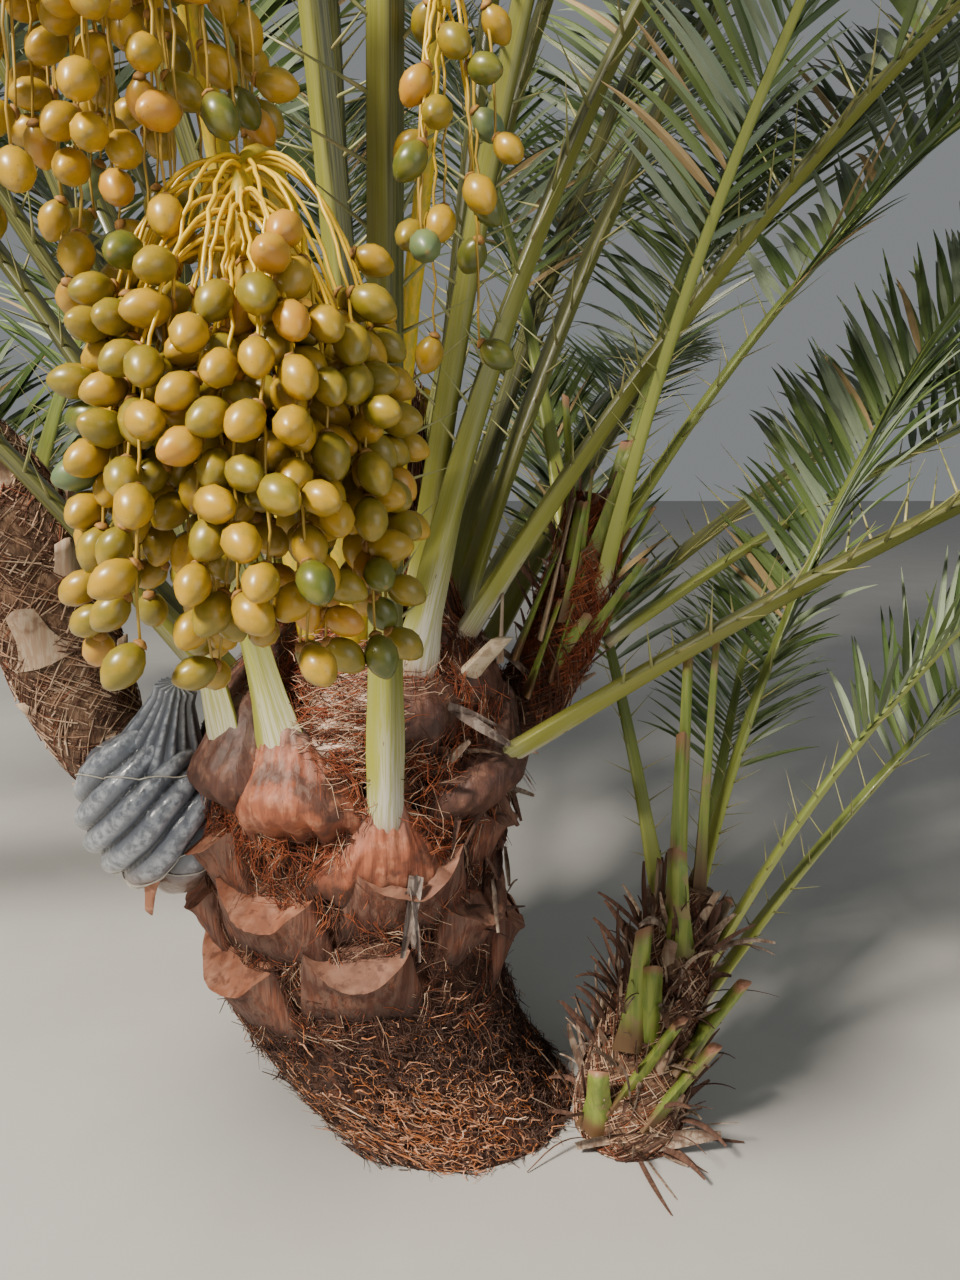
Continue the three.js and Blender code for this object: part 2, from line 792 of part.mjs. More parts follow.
const root = new THREE.Group();

function addMesh(name, solid, material) {
  const mesh = new THREE.Mesh(geometryOf(solid), material);
  mesh.name = name;
  root.add(mesh);
}

const trunk = trunkSolid(0);
const trunkRoom = trunkSolid(SEAT_GAP);
const stems = {};
const stemRooms = {};
for (const [name, plan] of Object.entries(offshoots)) {
  let made = solidOf(limb(plan.stations, OFFSHOOT_SIDES));
  let room = solidOf(limb(plan.stations, OFFSHOOT_SIDES, SEAT_GAP));
  if (name === 'lower') {
    for (const s of lowerStubs) {
      made = made.add(stubSolid(s));
      room = room.add(stubSolid(s));
    }
  }
  stems[name] = largest(made.subtract(trunkRoom).trimByPlane([0, 0, 1], 0));
  stemRooms[name] = room;
}
const sack = largest(sackSolid().subtract(trunkRoom).subtract(stemRooms.left));
const bunchSolids = bunches.map((b) => largest(bunchSolid(b).subtract(trunkRoom)));

const wanted = crownFronds().map((f) => ({ ...f, carrier: trunkRoom, carriedBy: 'trunk' }));
const obstacles = bunches.map((b) => {
  const radii = b.stalk.map((_, i) => lerp(b.radius[0], b.radius[1], i / (b.stalk.length - 1)));
  return { of: b.name, spheres: limbSpheres(b.stalk, radii) };
});
for (const [i, [name, plan]] of Object.entries(offshoots).entries()) {
  const points = plan.stations.map((s) => s.at);
  const radii = plan.stations.map((s) => s.r);
  obstacles.push({ of: name, spheres: limbSpheres(points, radii) });
  for (const f of offshootFronds(`${name}_offshoot`, plan, 100 * (i + 1))) {
    wanted.push({ ...f, carrier: stemRooms[name], carriedBy: name });
  }
}
const fronds = settle(wanted, obstacles);

function boxOf(solid) {
  const b = solid.boundingBox();
  return new THREE.Box3(vec(...b.min), vec(...b.max));
}

const LEAFLET_ROOM = 3; // clear space kept round a leaflet
const LEAFLET_TRIES = [1, 0.72, 0.48]; // shares of its length that a leaflet is tried at

const limbs = [trunk, ...Object.values(stems), sack, ...bunchSolids];
const standing = limbs.map((s) => ({ solid: s, box: boxOf(s), of: null }));
for (const f of fronds) {
  const parts = frondParts(f);
  const rib = solidOf(skin(parts.rings, new Map(), parts.tip));
  const proud = frondParts(f, SEAT_GAP);
  f.parts = parts;
  f.room = solidOf(skin(proud.rings, new Map(), proud.tip));
  standing.push({ solid: rib, box: boxOf(rib), of: f.name });
}

function isClear(guard, owner) {
  const box = boxOf(guard);
  const near = standing.filter((s) => s.of !== owner && s.box.intersectsBox(box));
  return !near.some((s) => guard.intersect(s.solid).volume() > 0);
}

for (const f of fronds) {
  const apexes = new Map();
  for (const l of f.parts.leaflets) {
    for (const share of LEAFLET_TRIES) {
      const guard = solidOf(leafletGuard(l, l.length * share, LEAFLET_ROOM));
      if (isClear(guard, f.name)) {
        apexes.set(l.key, l.middle.clone().addScaledVector(l.way, l.length * share));
        standing.push({ solid: guard, box: boxOf(guard), of: f.name });
        break;
      }
    }
  }
  f.blade = solidOf(skin(f.parts.rings, apexes, f.parts.tip)).subtract(f.carrier);
}

// Where two sheaths press together at their feet, the later one is cut clear of the earlier.
fronds.forEach((f, i) => {
  const pressed = fronds.slice(0, i).filter((e) => f.blade.intersect(e.blade).volume() > 0);
  const blade = pressed.reduce((left, e) => left.subtract(e.room), f.blade);
  addMesh(f.name, largest(blade), leaf);
});

addMesh('trunk', trunk, bark);
for (const [name, solid] of Object.entries(stems)) addMesh(`${name}_offshoot_stem`, solid, bark);
addMesh('rooting_sack', sack, sacking);
bunches.forEach((b, i) => addMesh(b.name, bunchSolids[i], fruit));

export default root;
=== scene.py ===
# %% [markdown]
# A young fruiting date palm, dressed.
# The construction model says where the trunk, the fronds, the offshoots and the fruit are, as
# plain solids. Each one is made again here as the real thing shows it close up. The pieces follow
# the rules that the solids follow, so everything lands in the same place, with finer detail.
# Lengths are metres, angles are degrees, +Z is up, and the origin is the middle of the flat cut
# under the trunk. An azimuth is measured in plan from +X towards +Y, and -Y is the front.

import bpy
import numpy as np
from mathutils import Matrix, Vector


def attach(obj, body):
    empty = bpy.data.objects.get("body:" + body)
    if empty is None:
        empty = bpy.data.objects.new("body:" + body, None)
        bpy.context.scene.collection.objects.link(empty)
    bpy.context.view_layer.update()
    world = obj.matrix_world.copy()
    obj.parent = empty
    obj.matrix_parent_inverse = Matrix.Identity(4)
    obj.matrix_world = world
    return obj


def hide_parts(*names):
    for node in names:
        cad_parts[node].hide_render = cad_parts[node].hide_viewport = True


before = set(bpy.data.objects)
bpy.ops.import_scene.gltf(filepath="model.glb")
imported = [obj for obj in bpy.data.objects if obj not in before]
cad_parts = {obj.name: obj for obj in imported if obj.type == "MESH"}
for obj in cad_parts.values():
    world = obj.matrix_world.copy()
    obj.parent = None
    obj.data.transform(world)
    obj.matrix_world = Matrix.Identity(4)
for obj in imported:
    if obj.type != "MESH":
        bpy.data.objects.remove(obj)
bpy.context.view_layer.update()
nodes = sorted(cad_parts)
print("construction nodes:", len(nodes))

# %% [markdown]
# Small helpers that work on whole arrays. A palm grows by repeating one rule many times with
# small differences, so chance() gives a number that looks random but is the same on every run:
# the fraction left when the sine of a whole number is multiplied by something large.

# %% Array helpers
GOLDEN_ANGLE = 137.508  # turn from one leaf to the next up a palm's stem


def lerp(a, b, t):
    return a + (b - a) * t


def smooth(low, high, x):
    """0 below low, 1 above high and an S-shaped curve between, 3x^2 - 2x^3."""
    x = np.clip((x - low) / (high - low), 0, 1)
    return x * x * (3 - 2 * x)


def chance(n, seed):
    """A repeatable number from 0 to 1 for each whole number in n."""
    s = np.sin(np.asarray(n) * 12.9898 + seed * 78.233) * 43758.5453
    return s - np.floor(s)


def between(low, high, n, seed):
    """A repeatable number from low to high for each whole number in n."""
    return lerp(low, high, chance(n, seed))


def swing(n, seed):
    """A repeatable number from -0.5 to 0.5 for each whole number in n."""
    return chance(n, seed) - 0.5


def evenly(count):
    """Evenly spaced numbers from 0 to 1."""
    return np.linspace(0, 1, count)


def turns(count):
    """Evenly spaced angles once round, in radians."""
    return np.arange(count) * 2 * np.pi / count


def unit(v):
    return v / np.linalg.norm(v, axis=-1, keepdims=True)


def heading(azimuth, elevation):
    """The unit vector at an azimuth in plan and an elevation above the level."""
    azimuth, elevation = np.broadcast_arrays(np.radians(azimuth), np.radians(elevation))
    level = np.cos(elevation)
    return np.stack([np.cos(azimuth) * level, np.sin(azimuth) * level, np.sin(elevation)], -1)


WAVES = unit(np.stack([chance(np.arange(9), s) - 0.5 for s in (1, 2, 3)], -1))


def rough(points, scale, seed=0):
    """Soft unevenness from -1 to 1: the mean of nine sine waves that run in different directions."""
    phase = 6.28 * chance(np.arange(9), seed + 0.7)
    return np.sin(points @ WAVES.T * scale + phase).mean(-1) * 2


print("first chances:", np.round(chance(np.arange(4), 1), 3))

# %% [markdown]
# Every piece is a set of grids of points. A leaflet is a small grid, a rib is a grid that is
# closed round its columns, and a bunch of dates is hundreds of equal grids. Surfaces collects
# such grids as arrays and joins them into one mesh at the end, which is far quicker than making
# and joining objects. Each point also carries two numbers, its place across and along the piece
# in the UV map "Flow", so that a finish can follow the surface.

# %% A collector that joins grids into one mesh


def put_in_scene(name, data):
    """A new object with this data, linked to the scene."""
    thing = bpy.data.objects.new(name, data)
    bpy.context.scene.collection.objects.link(thing)
    return thing


class Surfaces:
    """Grids of points, joined into one mesh. Every grid of four neighbours makes one face."""

    def __init__(self):
        self.points, self.faces, self.slots, self.flow = [], [], [], []
        self.count = 0

    def add(self, points, slot=0, wrap=False, caps="", flow=None, cap_slot=None):
        """points has the shape (pieces, rows, columns, 3). wrap joins the last column to the
        first, and caps closes the first row, the last row or both, for "a", "z" or "az"."""
        points = np.asarray(points, float)
        points = points[None] if points.ndim == 3 else points
        pieces, rows, columns = points.shape[:3]
        index = np.arange(rows * columns).reshape(rows, columns)
        ring = np.column_stack([index, index[:, :1]]) if wrap else index
        corners = [ring[:-1, :-1], ring[:-1, 1:], ring[1:, 1:], ring[1:, :-1]]
        kinds = [np.stack(corners, -1).reshape(-1, 4)]
        if "a" in caps:
            kinds.append(index[:1, ::-1])
        if "z" in caps:
            kinds.append(index[-1:])
        start = self.count + np.arange(pieces) * rows * columns
        for kind in kinds:
            faces = kind[None] + start[:, None, None]
            self.faces.append(faces.reshape(-1, kind.shape[1]))
            own = slot if kind is kinds[0] or cap_slot is None else cap_slot
            self.slots.append(np.repeat(np.broadcast_to(own, (pieces,)), len(kind)))
        if flow is None:
            across, along = evenly(columns), evenly(rows)
            flow = np.stack(np.meshgrid(across, along), -1)
        self.flow.append(np.broadcast_to(flow, (pieces, rows, columns, 2)).reshape(-1, 2))
        self.points.append(points.reshape(-1, 3))
        self.count += pieces * rows * columns

    def build(self, name, finishes, replaced, slot, smoothed=True):
        """The joined mesh as a piece that rides on the palm and stands for the nodes replaced."""
        mesh = bpy.data.meshes.new(name)
        points = np.concatenate(self.points)
        corners = np.concatenate([f.ravel() for f in self.faces])
        sizes = np.concatenate([np.full(len(f), f.shape[1]) for f in self.faces])
        mesh.vertices.add(len(points))
        mesh.vertices.foreach_set("co", points.ravel())
        mesh.loops.add(len(corners))
        mesh.loops.foreach_set("vertex_index", corners)
        mesh.polygons.add(len(sizes))
        mesh.polygons.foreach_set("loop_start", np.concatenate([[0], np.cumsum(sizes)[:-1]]))
        mesh.polygons.foreach_set("material_index", np.concatenate(self.slots))
        mesh.polygons.foreach_set("use_smooth", np.full(len(sizes), smoothed))
        flow = mesh.uv_layers.new(name="Flow")
        flow.data.foreach_set("uv", np.concatenate(self.flow)[corners].ravel())
        mesh.update(calc_edges=True)
        for finish in finishes:
            mesh.materials.append(finish.material)
        piece = put_in_scene(name, mesh)
        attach(piece, "root")
        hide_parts(*replaced)
        print(f"{name}: {int((sizes - 2).sum())} triangles")
        return piece


# %% [markdown]
# Stalks, strands, fibres and roots are all tubes: a ring of points is carried along a path and
# lies square to it everywhere. Blender's curve objects do this too, but thousands of them are
# slow, and an array holds all the tubes of a piece at once.

# %% Tubes along paths


def flow_of(across, along):
    """A flow coordinate for each point of a grid, from a row across and a column along."""
    return np.stack(np.broadcast_arrays(across, along), -1)


def path_frames(path, reference):
    """Tangents of paths (pieces, rows, 3), and two directions square to them, the first of which
    is also square to the reference."""
    along = unit(np.gradient(path, axis=-2))
    side = unit(np.cross(np.broadcast_to(reference, path.shape), along))
    return along, side, np.cross(along, side)


def tubes(path, radius, sides, reference=(0.31, 0.11, 0.94)):
    """Round tubes along paths (pieces, rows, 3): each point lies a radius from its path at
    angles that go evenly round it. radius has the shape (pieces, rows) or (rows,)."""
    along, side, other = path_frames(path, reference)
    turn = turns(sides)
    ring = side[..., None, :] * np.cos(turn)[:, None] + other[..., None, :] * np.sin(turn)[:, None]
    return path[..., None, :] + ring * np.broadcast_to(radius, path.shape[:-1])[..., None, None]


# %% [markdown]
# Finishes. Three effects are needed on more than one material, so each is a shader node group:
# blotches (soft uneven patches), fibres (long thin streaks, squeezed across and stretched along)
# and specks (small round scars). They only put out masks, and each material mixes its own
# colours with them. The patterns read Object coordinates, so they are fixed to the palm.

# %% Helpers for shader nodes


def new_group(name, inputs, outputs):
    """A node group with float inputs (name, default), a vector input first, and float outputs."""
    group = bpy.data.node_groups.new(name, "ShaderNodeTree")
    group.interface.new_socket("Vector", in_out="INPUT", socket_type="NodeSocketVector")
    for label, value in inputs:
        socket = group.interface.new_socket(label, in_out="INPUT", socket_type="NodeSocketFloat")
        socket.default_value = value
    for label in outputs:
        group.interface.new_socket(label, in_out="OUTPUT", socket_type="NodeSocketFloat")
    return group, group.nodes.new("NodeGroupInput"), group.nodes.new("NodeGroupOutput")


def feed(tree, value, socket):
    """Links value to a socket if it is a socket itself, and otherwise sets it there."""
    if isinstance(value, bpy.types.NodeSocket):
        tree.links.new(value, socket)
    else:
        socket.default_value = value


def set_inputs(node, **values):
    """Sets a node's inputs by name, with _ for a blank."""
    for label, value in values.items():
        node.inputs[label.replace("_", " ")].default_value = value


def range_of(tree, value, low, high):
    """A smooth step of value from low to high, each a number or a socket."""
    node = tree.nodes.new("ShaderNodeMapRange")
    node.interpolation_type = "SMOOTHSTEP"
    tree.links.new(value, node.inputs["Value"])
    feed(tree, low, node.inputs["From Min"])
    feed(tree, high, node.inputs["From Max"])
    return node.outputs["Result"]


def math_of(tree, operation, first, second):
    """The operation on a socket and on a second socket or number."""
    node = tree.nodes.new("ShaderNodeMath")
    node.operation = operation
    tree.links.new(first, node.inputs[0])
    feed(tree, second, node.inputs[1])
    return node.outputs["Value"]


# %% The three groups


def blotches_group():
    """Cloudy noise, cut into patches between Low and High."""
    group, given, out = new_group("Blotches", [("Scale", 6), ("Low", 0.4), ("High", 0.6)], ["Mask"])
    noise = group.nodes.new("ShaderNodeTexNoise")
    set_inputs(noise, Detail=5, Roughness=0.6)
    group.links.new(given.outputs["Vector"], noise.inputs["Vector"])
    group.links.new(given.outputs["Scale"], noise.inputs["Scale"])
    mask = range_of(group, noise.outputs["Fac"], given.outputs["Low"], given.outputs["High"])
    group.links.new(mask, out.inputs["Mask"])
    return group


def fibres_group():
    """Noise on coordinates that are multiplied by Across in x and y, and by Along in z."""
    group, given, out = new_group("Fibres", [("Across", 200), ("Along", 12)], ["Mask", "Height"])
    scale = group.nodes.new("ShaderNodeCombineXYZ")
    for axis, label in (("X", "Across"), ("Y", "Across"), ("Z", "Along")):
        group.links.new(given.outputs[label], scale.inputs[axis])
    stretched = group.nodes.new("ShaderNodeVectorMath")
    stretched.operation = "MULTIPLY"
    group.links.new(given.outputs["Vector"], stretched.inputs[0])
    group.links.new(scale.outputs["Vector"], stretched.inputs[1])
    noise = group.nodes.new("ShaderNodeTexNoise")
    set_inputs(noise, Scale=1, Detail=3, Distortion=0.6)
    group.links.new(stretched.outputs["Vector"], noise.inputs["Vector"])
    group.links.new(range_of(group, noise.outputs["Fac"], 0.42, 0.6), out.inputs["Mask"])
    group.links.new(noise.outputs["Fac"], out.inputs["Height"])
    return group


def specks_group():
    """1 inside small spots round scattered points, on the share of cells that Rare leaves."""
    group, given, out = new_group("Specks", [("Scale", 60), ("Size", 0.2), ("Rare", 0.5)], ["Mask"])
    cells = group.nodes.new("ShaderNodeTexVoronoi")
    group.links.new(given.outputs["Vector"], cells.inputs["Vector"])
    group.links.new(given.outputs["Scale"], cells.inputs["Scale"])
    inside = math_of(group, "LESS_THAN", cells.outputs["Distance"], given.outputs["Size"])
    tint = group.nodes.new("ShaderNodeSeparateColor")
    group.links.new(cells.outputs["Color"], tint.inputs["Color"])
    chosen = math_of(group, "GREATER_THAN", tint.outputs["Red"], given.outputs["Rare"])
    group.links.new(math_of(group, "MULTIPLY", inside, chosen), out.inputs["Mask"])
    return group


GROUPS = {"blotches": blotches_group(), "fibres": fibres_group(), "specks": specks_group()}
print("node groups:", [g.name for g in GROUPS.values()])

# %% [markdown]
# A material here is one plain colour with others laid over it, each through a mask. As nodes that
# takes dozens of lines, so the steps become methods: layer() mixes a colour in by any mask, over()
# does so in the pattern of a group, and step() turns a place on the piece into a mask.

# %% A short way to write a material


class Finish:
    """A material in the making: it starts from one colour and takes layers of other colours,
    each through a mask."""

    def __init__(self, name, colour, roughness, **sockets):
        self.material = bpy.data.materials.new(name)
        self.material.use_nodes = True
        self.tree = self.material.node_tree
        self.shader = self.tree.nodes["Principled BSDF"]
        self.colour = (*colour, 1)
        set_inputs(self.shader, Roughness=roughness, Base_Color=self.colour, **sockets)
        self.material.diffuse_color = self.colour
        self.place = self.tree.nodes.new("ShaderNodeTexCoord").outputs["Object"]

    def effect(self, group, **values):
        """A node of one of the groups, with its inputs set."""
        node = self.tree.nodes.new("ShaderNodeGroup")
        node.node_tree = GROUPS[group]
        self.tree.links.new(self.place, node.inputs["Vector"])
        set_inputs(node, **values)
        return node

    def mask(self, group, **values):
        return self.effect(group, **values).outputs["Mask"]

    def layer(self, colour, mask, strength=1.0):
        """Mixes another colour over what is there, by a mask times a strength."""
        mix = self.tree.nodes.new("ShaderNodeMix")
        mix.data_type = "RGBA"
        factor, below, above = mix.inputs[0], mix.inputs[6], mix.inputs[7]
        feed(self.tree, self.colour, below)
        above.default_value = (*colour, 1)
        if strength < 1:
            mask = self.times(mask, strength)
        self.tree.links.new(mask, factor)
        self.colour = mix.outputs[2]
        self.tree.links.new(self.colour, self.shader.inputs["Base Color"])
        return self

    def over(self, group, colour, strength, **values):
        """Another colour over what is there, in the pattern of a group."""
        return self.layer(colour, self.mask(group, **values), strength)

    def times(self, first, second):
        """The product of a mask with a number or another mask."""
        return math_of(self.tree, "MULTIPLY", first, second)

    def flow(self, axis):
        """The place across ("X") or along ("Y") the piece, from its own UV map."""
        uv = self.tree.nodes.new("ShaderNodeUVMap")
        uv.uv_map = "Flow"
        parts = self.tree.nodes.new("ShaderNodeSeparateXYZ")
        self.tree.links.new(uv.outputs["UV"], parts.inputs["Vector"])
        return parts.outputs[axis]

    def step(self, value, low, high):
        return range_of(self.tree, value, low, high)

    def bump(self, group, strength, distance, **values):
        """Relief from a group's mask, or from the height of the fibres."""
        height = self.effect(group, **values).outputs["Height" if group == "fibres" else "Mask"]
        bump = self.tree.nodes.new("ShaderNodeBump")
        set_inputs(bump, Strength=strength, Distance=distance)
        self.tree.links.new(height, bump.inputs["Height"])
        self.tree.links.new(bump.outputs["Normal"], self.shader.inputs["Normal"])
        return self


# %% [markdown]
# The trunk. A date palm has no bark: its stem is wrapped in the bases of its leaves, with a mat
# of brown fibre between them and a cushion of short orange roots round its foot. The stem itself
# leans to the left and swells above a narrow foot. It is one surface of azimuth and height, whose
# radius is the solid's plus rough relief, and the leaf bases stand on it as pieces of their own.

# %% The line of the trunk
TRUNK = np.array([  # height, middle in x, radius
    (0.000, 0.000, 0.196),
    (0.055, -0.048, 0.206),
    (0.130, -0.106, 0.222),
    (0.230, -0.150, 0.236),
    (0.350, -0.163, 0.238),
    (0.500, -0.172, 0.240),
    (0.640, -0.164, 0.236),
    (0.760, -0.144, 0.204),
    (0.850, -0.132, 0.150),
    (0.920, -0.125, 0.068),
])
FLARE_REACH, FLARE_HEIGHT = 0.032, 0.060  # the skirt of roots round the foot
ROOTS_END = (0.16, 0.30)  # heights between which roots give way to fibre


def trunk_radius(z):
    return np.interp(z, TRUNK[:, 0], TRUNK[:, 2])


def on_trunk(azimuth, z, out=0.0):
    """The point at an azimuth and height, some way out from the stem's surface."""
    azimuth, z, out = np.broadcast_arrays(np.radians(azimuth), z, out)
    r = trunk_radius(z) + out
    x = np.interp(z, TRUNK[:, 0], TRUNK[:, 1])
    return np.stack([x + r * np.cos(azimuth), r * np.sin(azimuth), z], -1)


def skirt(z):
    """How far the foot stands out: reach * e^(-z / height)."""
    return FLARE_REACH * np.exp(-z / FLARE_HEIGHT)


def rooty(z):
    """1 at the foot, where roots cover the stem, and 0 above them."""
    return 1 - smooth(*ROOTS_END, z)


# %% The trunk's surface


def trunk_surface(columns=300, rows=180):
    """Radius = solid's radius + skirt + coarse and fine relief, lumpier where roots cover it."""
    azimuth = np.arange(columns) * 360 / columns
    z = np.linspace(0, TRUNK[-1, 0], rows)
    azimuth, z = np.meshgrid(azimuth, z)
    place = on_trunk(azimuth, z)
    streaks = rough(place * (1, 1, 0.15), 260, 3)
    lumps = rough(place, 45, 1) * 0.007 + rough(place, 120, 2) * 0.004
    lumps = lumps + rooty(z) * (0.012 * rough(place, 62, 4) + 0.006 * rough(place, 170, 7))
    fade = smooth(0, 0.02, z)
    return on_trunk(azimuth, z, skirt(z) - 0.010 + fade * (lumps + 0.003 * streaks))


print("trunk is", TRUNK[-1, 0], "m tall and", 2 * trunk_radius(0.5), "m thick")

# %% [markdown]
# The trunk's finishes. Matted fibre is nearly black in its depths and rusty where light reaches
# it. A leaf base is dark red brown and streaked lengthways. Its cut face is paler and scored by
# the knife, and greyer where the cut is old, so one function makes both. Roots are orange where
# they are young, pale where they are bare, and dark brown with age.

# %% Finishes of the trunk
core = Finish("matted fibre", (0.038, 0.015, 0.009), 0.95)
core.over("blotches", (0.13, 0.038, 0.016), 0.8, Scale=14, Low=0.45, High=0.62)
core.over("fibres", (0.17, 0.075, 0.038), 0.4, Across=170, Along=30)
core.over("blotches", (0.012, 0.006, 0.005), 0.8, Scale=28, Low=0.52, High=0.6)
core.bump("fibres", 0.9, 0.01, Across=150, Along=26)

base = Finish("leaf base", (0.098, 0.031, 0.017), 0.8)
base.over("blotches", (0.22, 0.072, 0.035), 0.8, Scale=11, Low=0.42, High=0.6)
base.over("fibres", (0.070, 0.024, 0.014), 0.7, Across=150, Along=8)
base.over("fibres", (0.36, 0.24, 0.18), 0.2, Across=90, Along=3)
# Painted shade: each leaf base darkens towards its foot, where it sinks into the fibre under the bases above
# it.
base.layer((0.025, 0.011, 0.008), base.step(base.flow("Y"), 0.45, 0.05), 0.75)
base.bump("fibres", 0.5, 0.006, Across=190, Along=9)


def cut_finish(name, colour, pale, dark):
    """A cut face: pale and dark patches, knife scratches, and painted shade towards the stem, where the cut
    meets it.
    """
    face = Finish(name, colour, 0.75)
    face.over("blotches", pale, 0.8, Scale=24, Low=0.4, High=0.62)
    face.over("blotches", dark, 0.7, Scale=46, Low=0.54, High=0.64)
    face.over("fibres", dark, 0.4, Across=45, Along=45)
    # Painted shade: darker towards the inner rim, in the corner where the cut meets the stem.
    face.layer(dark, face.step(face.flow("Y"), 0.45, 0.8), 0.8)
    return face.bump("specks", 0.4, 0.002, Scale=260, Size=0.3, Rare=0.35)


fresh_cut = cut_finish("cut face", (0.34, 0.125, 0.065), (0.48, 0.235, 0.145), (0.15, 0.050, 0.025))
old_cut = cut_finish("old cut face", (0.20, 0.085, 0.050), (0.30, 0.15, 0.095), (0.085, 0.032, 0.020))

root_orange = Finish("root tips", (0.50, 0.165, 0.050), 0.85)
root_orange.over("blotches", (0.74, 0.43, 0.28), 0.7, Scale=60, Low=0.45, High=0.6)
root_pale = Finish("bare roots", (0.72, 0.50, 0.36), 0.85)
root_pale.over("blotches", (0.50, 0.24, 0.11), 0.7, Scale=60, Low=0.45, High=0.6)
root_brown = Finish("old roots", (0.070, 0.033, 0.023), 0.9)
root_brown.over("blotches", (0.17, 0.095, 0.068), 0.7, Scale=40, Low=0.48, High=0.62)
print("trunk finishes made")

# %% [markdown]
# The leaf bases. When a frond is pruned, its foot stays on the stem as a broad shelf with a pale
# cut face. Seventeen of them stand on a spiral that turns by the golden angle, as the solids do.
# Each is a closed ring of points, an outer arc that stands out from the stem and an inner arc
# that is buried in it, carried up from its foot to the slanting cut. The cut face is a grid
# between the two arcs, hollowed a little and scored by the knife.

# %% Leaf bases
BASE_COUNT, BASE_LOWEST, BASE_PITCH, BASE_FIRST = 17, 0.245, 0.0165, 87
BASE_HALF, BASE_NARROW, BASE_HEIGHT = 25, 0.78, 0.084  # half its width in degrees, taper, height
BASE_OUT, BASE_BURY, BASE_FOOT = 0.050, 0.045, -0.045  # out of the stem, into it, below its place
CUT_DIP, CUT_RISE = 0.050, 0.055  # how far the middles of the cut's outer and inner rims go
ARC, BASE_ROWS, CUT_ROWS = 25, 16, 9  # points across a leaf base, up it and over its cut


def leaf_base(surfaces, azimuth, z, scale, seed, body, face):
    """One leaf base. Outer arc: out = how far it stands out * (1 - 0.55 u^2), at azimuths
    azimuth + half * u for u from -1 to 1. It swells from its foot to the cut. The cut's outer rim
    dips and its inner rim rises by 1 - u^2, so the cut face is shaped like a lens."""
    u = np.linspace(-1, 1, ARC)
    inner_u = np.linspace(0.86, -0.86, ARC)
    v = evenly(BASE_ROWS)[:, None]
    half = lerp(BASE_HALF * 1.05, BASE_HALF * BASE_NARROW, v) * scale
    level = z + lerp(BASE_FOOT, BASE_HEIGHT * scale, v)
    wave = rough(np.stack([u * 3 + 0 * v, 0 * u + v * 0.5, u * 0 + seed + 0 * v], -1), 5, seed)
    height = level - v**3 * CUT_DIP * (1 - u**2) * scale + v * 0.006 * wave
    out = lerp(-0.006, BASE_OUT * scale, v**0.75) * (1 - 0.55 * u**2) + 0.004 * wave
    outer = on_trunk(azimuth + half * u, height, out)
    outer = outer + rough(outer * (1, 1, 0.1), 420, seed)[..., None] * 0.0012
    inner_height = level + v * CUT_RISE * (1 - inner_u**2) * scale
    inner = on_trunk(azimuth + half * inner_u, inner_height, -BASE_BURY)
    rings = np.concatenate([outer, inner], 1)
    flow = flow_of(evenly(rings.shape[1]), v)
    surfaces.add(rings, body, wrap=True, caps="a", flow=flow)
    w = evenly(CUT_ROWS)[:, None, None]
    lid = lerp(outer[-1], inner[-1][::-1], w)
    hollow = 0.010 * np.sin(np.pi * w[..., 0]) + 0.002 * rough(lid, 300, seed)
    lid[..., 2] -= hollow * (w[..., 0] > 0)
    surfaces.add(lid, face)


# %% The trunk with its leaf bases
TRUNK_FINISHES = [core, base, fresh_cut, old_cut]
CORE, BASE, FRESH_CUT, OLD_CUT = range(4)
index = np.arange(BASE_COUNT)
base_azimuths = BASE_FIRST + GOLDEN_ANGLE * index
base_heights = BASE_LOWEST + BASE_PITCH * index
base_scales = 0.85 + 0.3 * chance(index, 1)
base_cuts = np.where((index % 4 == 0) | (index % 8 == 7), OLD_CUT, FRESH_CUT)
trunk = Surfaces()
trunk.add(trunk_surface(), CORE, wrap=True, caps="az")
for i in range(BASE_COUNT):
    leaf_base(trunk, base_azimuths[i], base_heights[i], base_scales[i], i + 1, BASE, base_cuts[i])
trunk.build("trunk_surface", TRUNK_FINISHES, ["trunk"], "bark")

# %% [markdown]
# Fibre and roots. The leaf bases were once joined by cloth-like sheaths, which fray into red and
# brown fibres that lie over each other on the stem. Short curly roots crowd round the foot. Both
# are thin three-sided tubes that creep over the surface: a path is a place (azimuth, height) that
# moves on at its own slant, waves a little, and lifts off the stem towards its end. Hair
# particles would look much the same, but these are real surfaces of the mesh as well.

# %% Fibres that creep over the stem


def above_ground(points, lowest=0.002):
    """The same points with none of them under the ground."""
    points[..., 2] = np.maximum(points[..., 2], lowest)
    return points


def creeping(azimuth, z, out, slant, length, radius, wave, lift, seed, rows=4, sides=3, lock=1):
    """Tubes over the trunk. Share s of the way: azimuth + length s cos(slant) / r, height
    z + length s sin(slant), out + lift s^2, and both waved by wave sin(7 s + a), where a is
    the same for each lock of fibres."""
    s = evenly(rows)
    n = np.arange(len(azimuth))
    slant, length = np.radians(slant)[:, None], np.asarray(length)[:, None]
    phase = 6.28 * chance(n // lock, seed)[:, None]
    sideways = wave * length * (np.sin(7 * s + phase) - np.sin(phase))
    run = length * s * np.cos(slant) - sideways * np.sin(slant)
    rise = length * s * np.sin(slant) + sideways * np.cos(slant)
    height = z[:, None] + rise
    turned = azimuth[:, None] + np.degrees(run / np.maximum(trunk_radius(height), 0.1))
    off = np.asarray(out)[:, None] + np.asarray(lift)[:, None] * s**2
    path = above_ground(on_trunk(turned, height, off), 0.003)
    taper = np.asarray(radius)[:, None] * np.linspace(1, 0.4, rows)
    return tubes(path, taper, sides, (0.42, 0.33, 0.85))


def away(azimuth, middle):
    """Degrees between azimuths and a middle one, on either side."""
    return np.abs((azimuth - middle + 180) % 360 - 180)


def in_front(azimuth):
    """True on the side of the stem whose fibre is redder."""
    return away(azimuth, -95) < 62


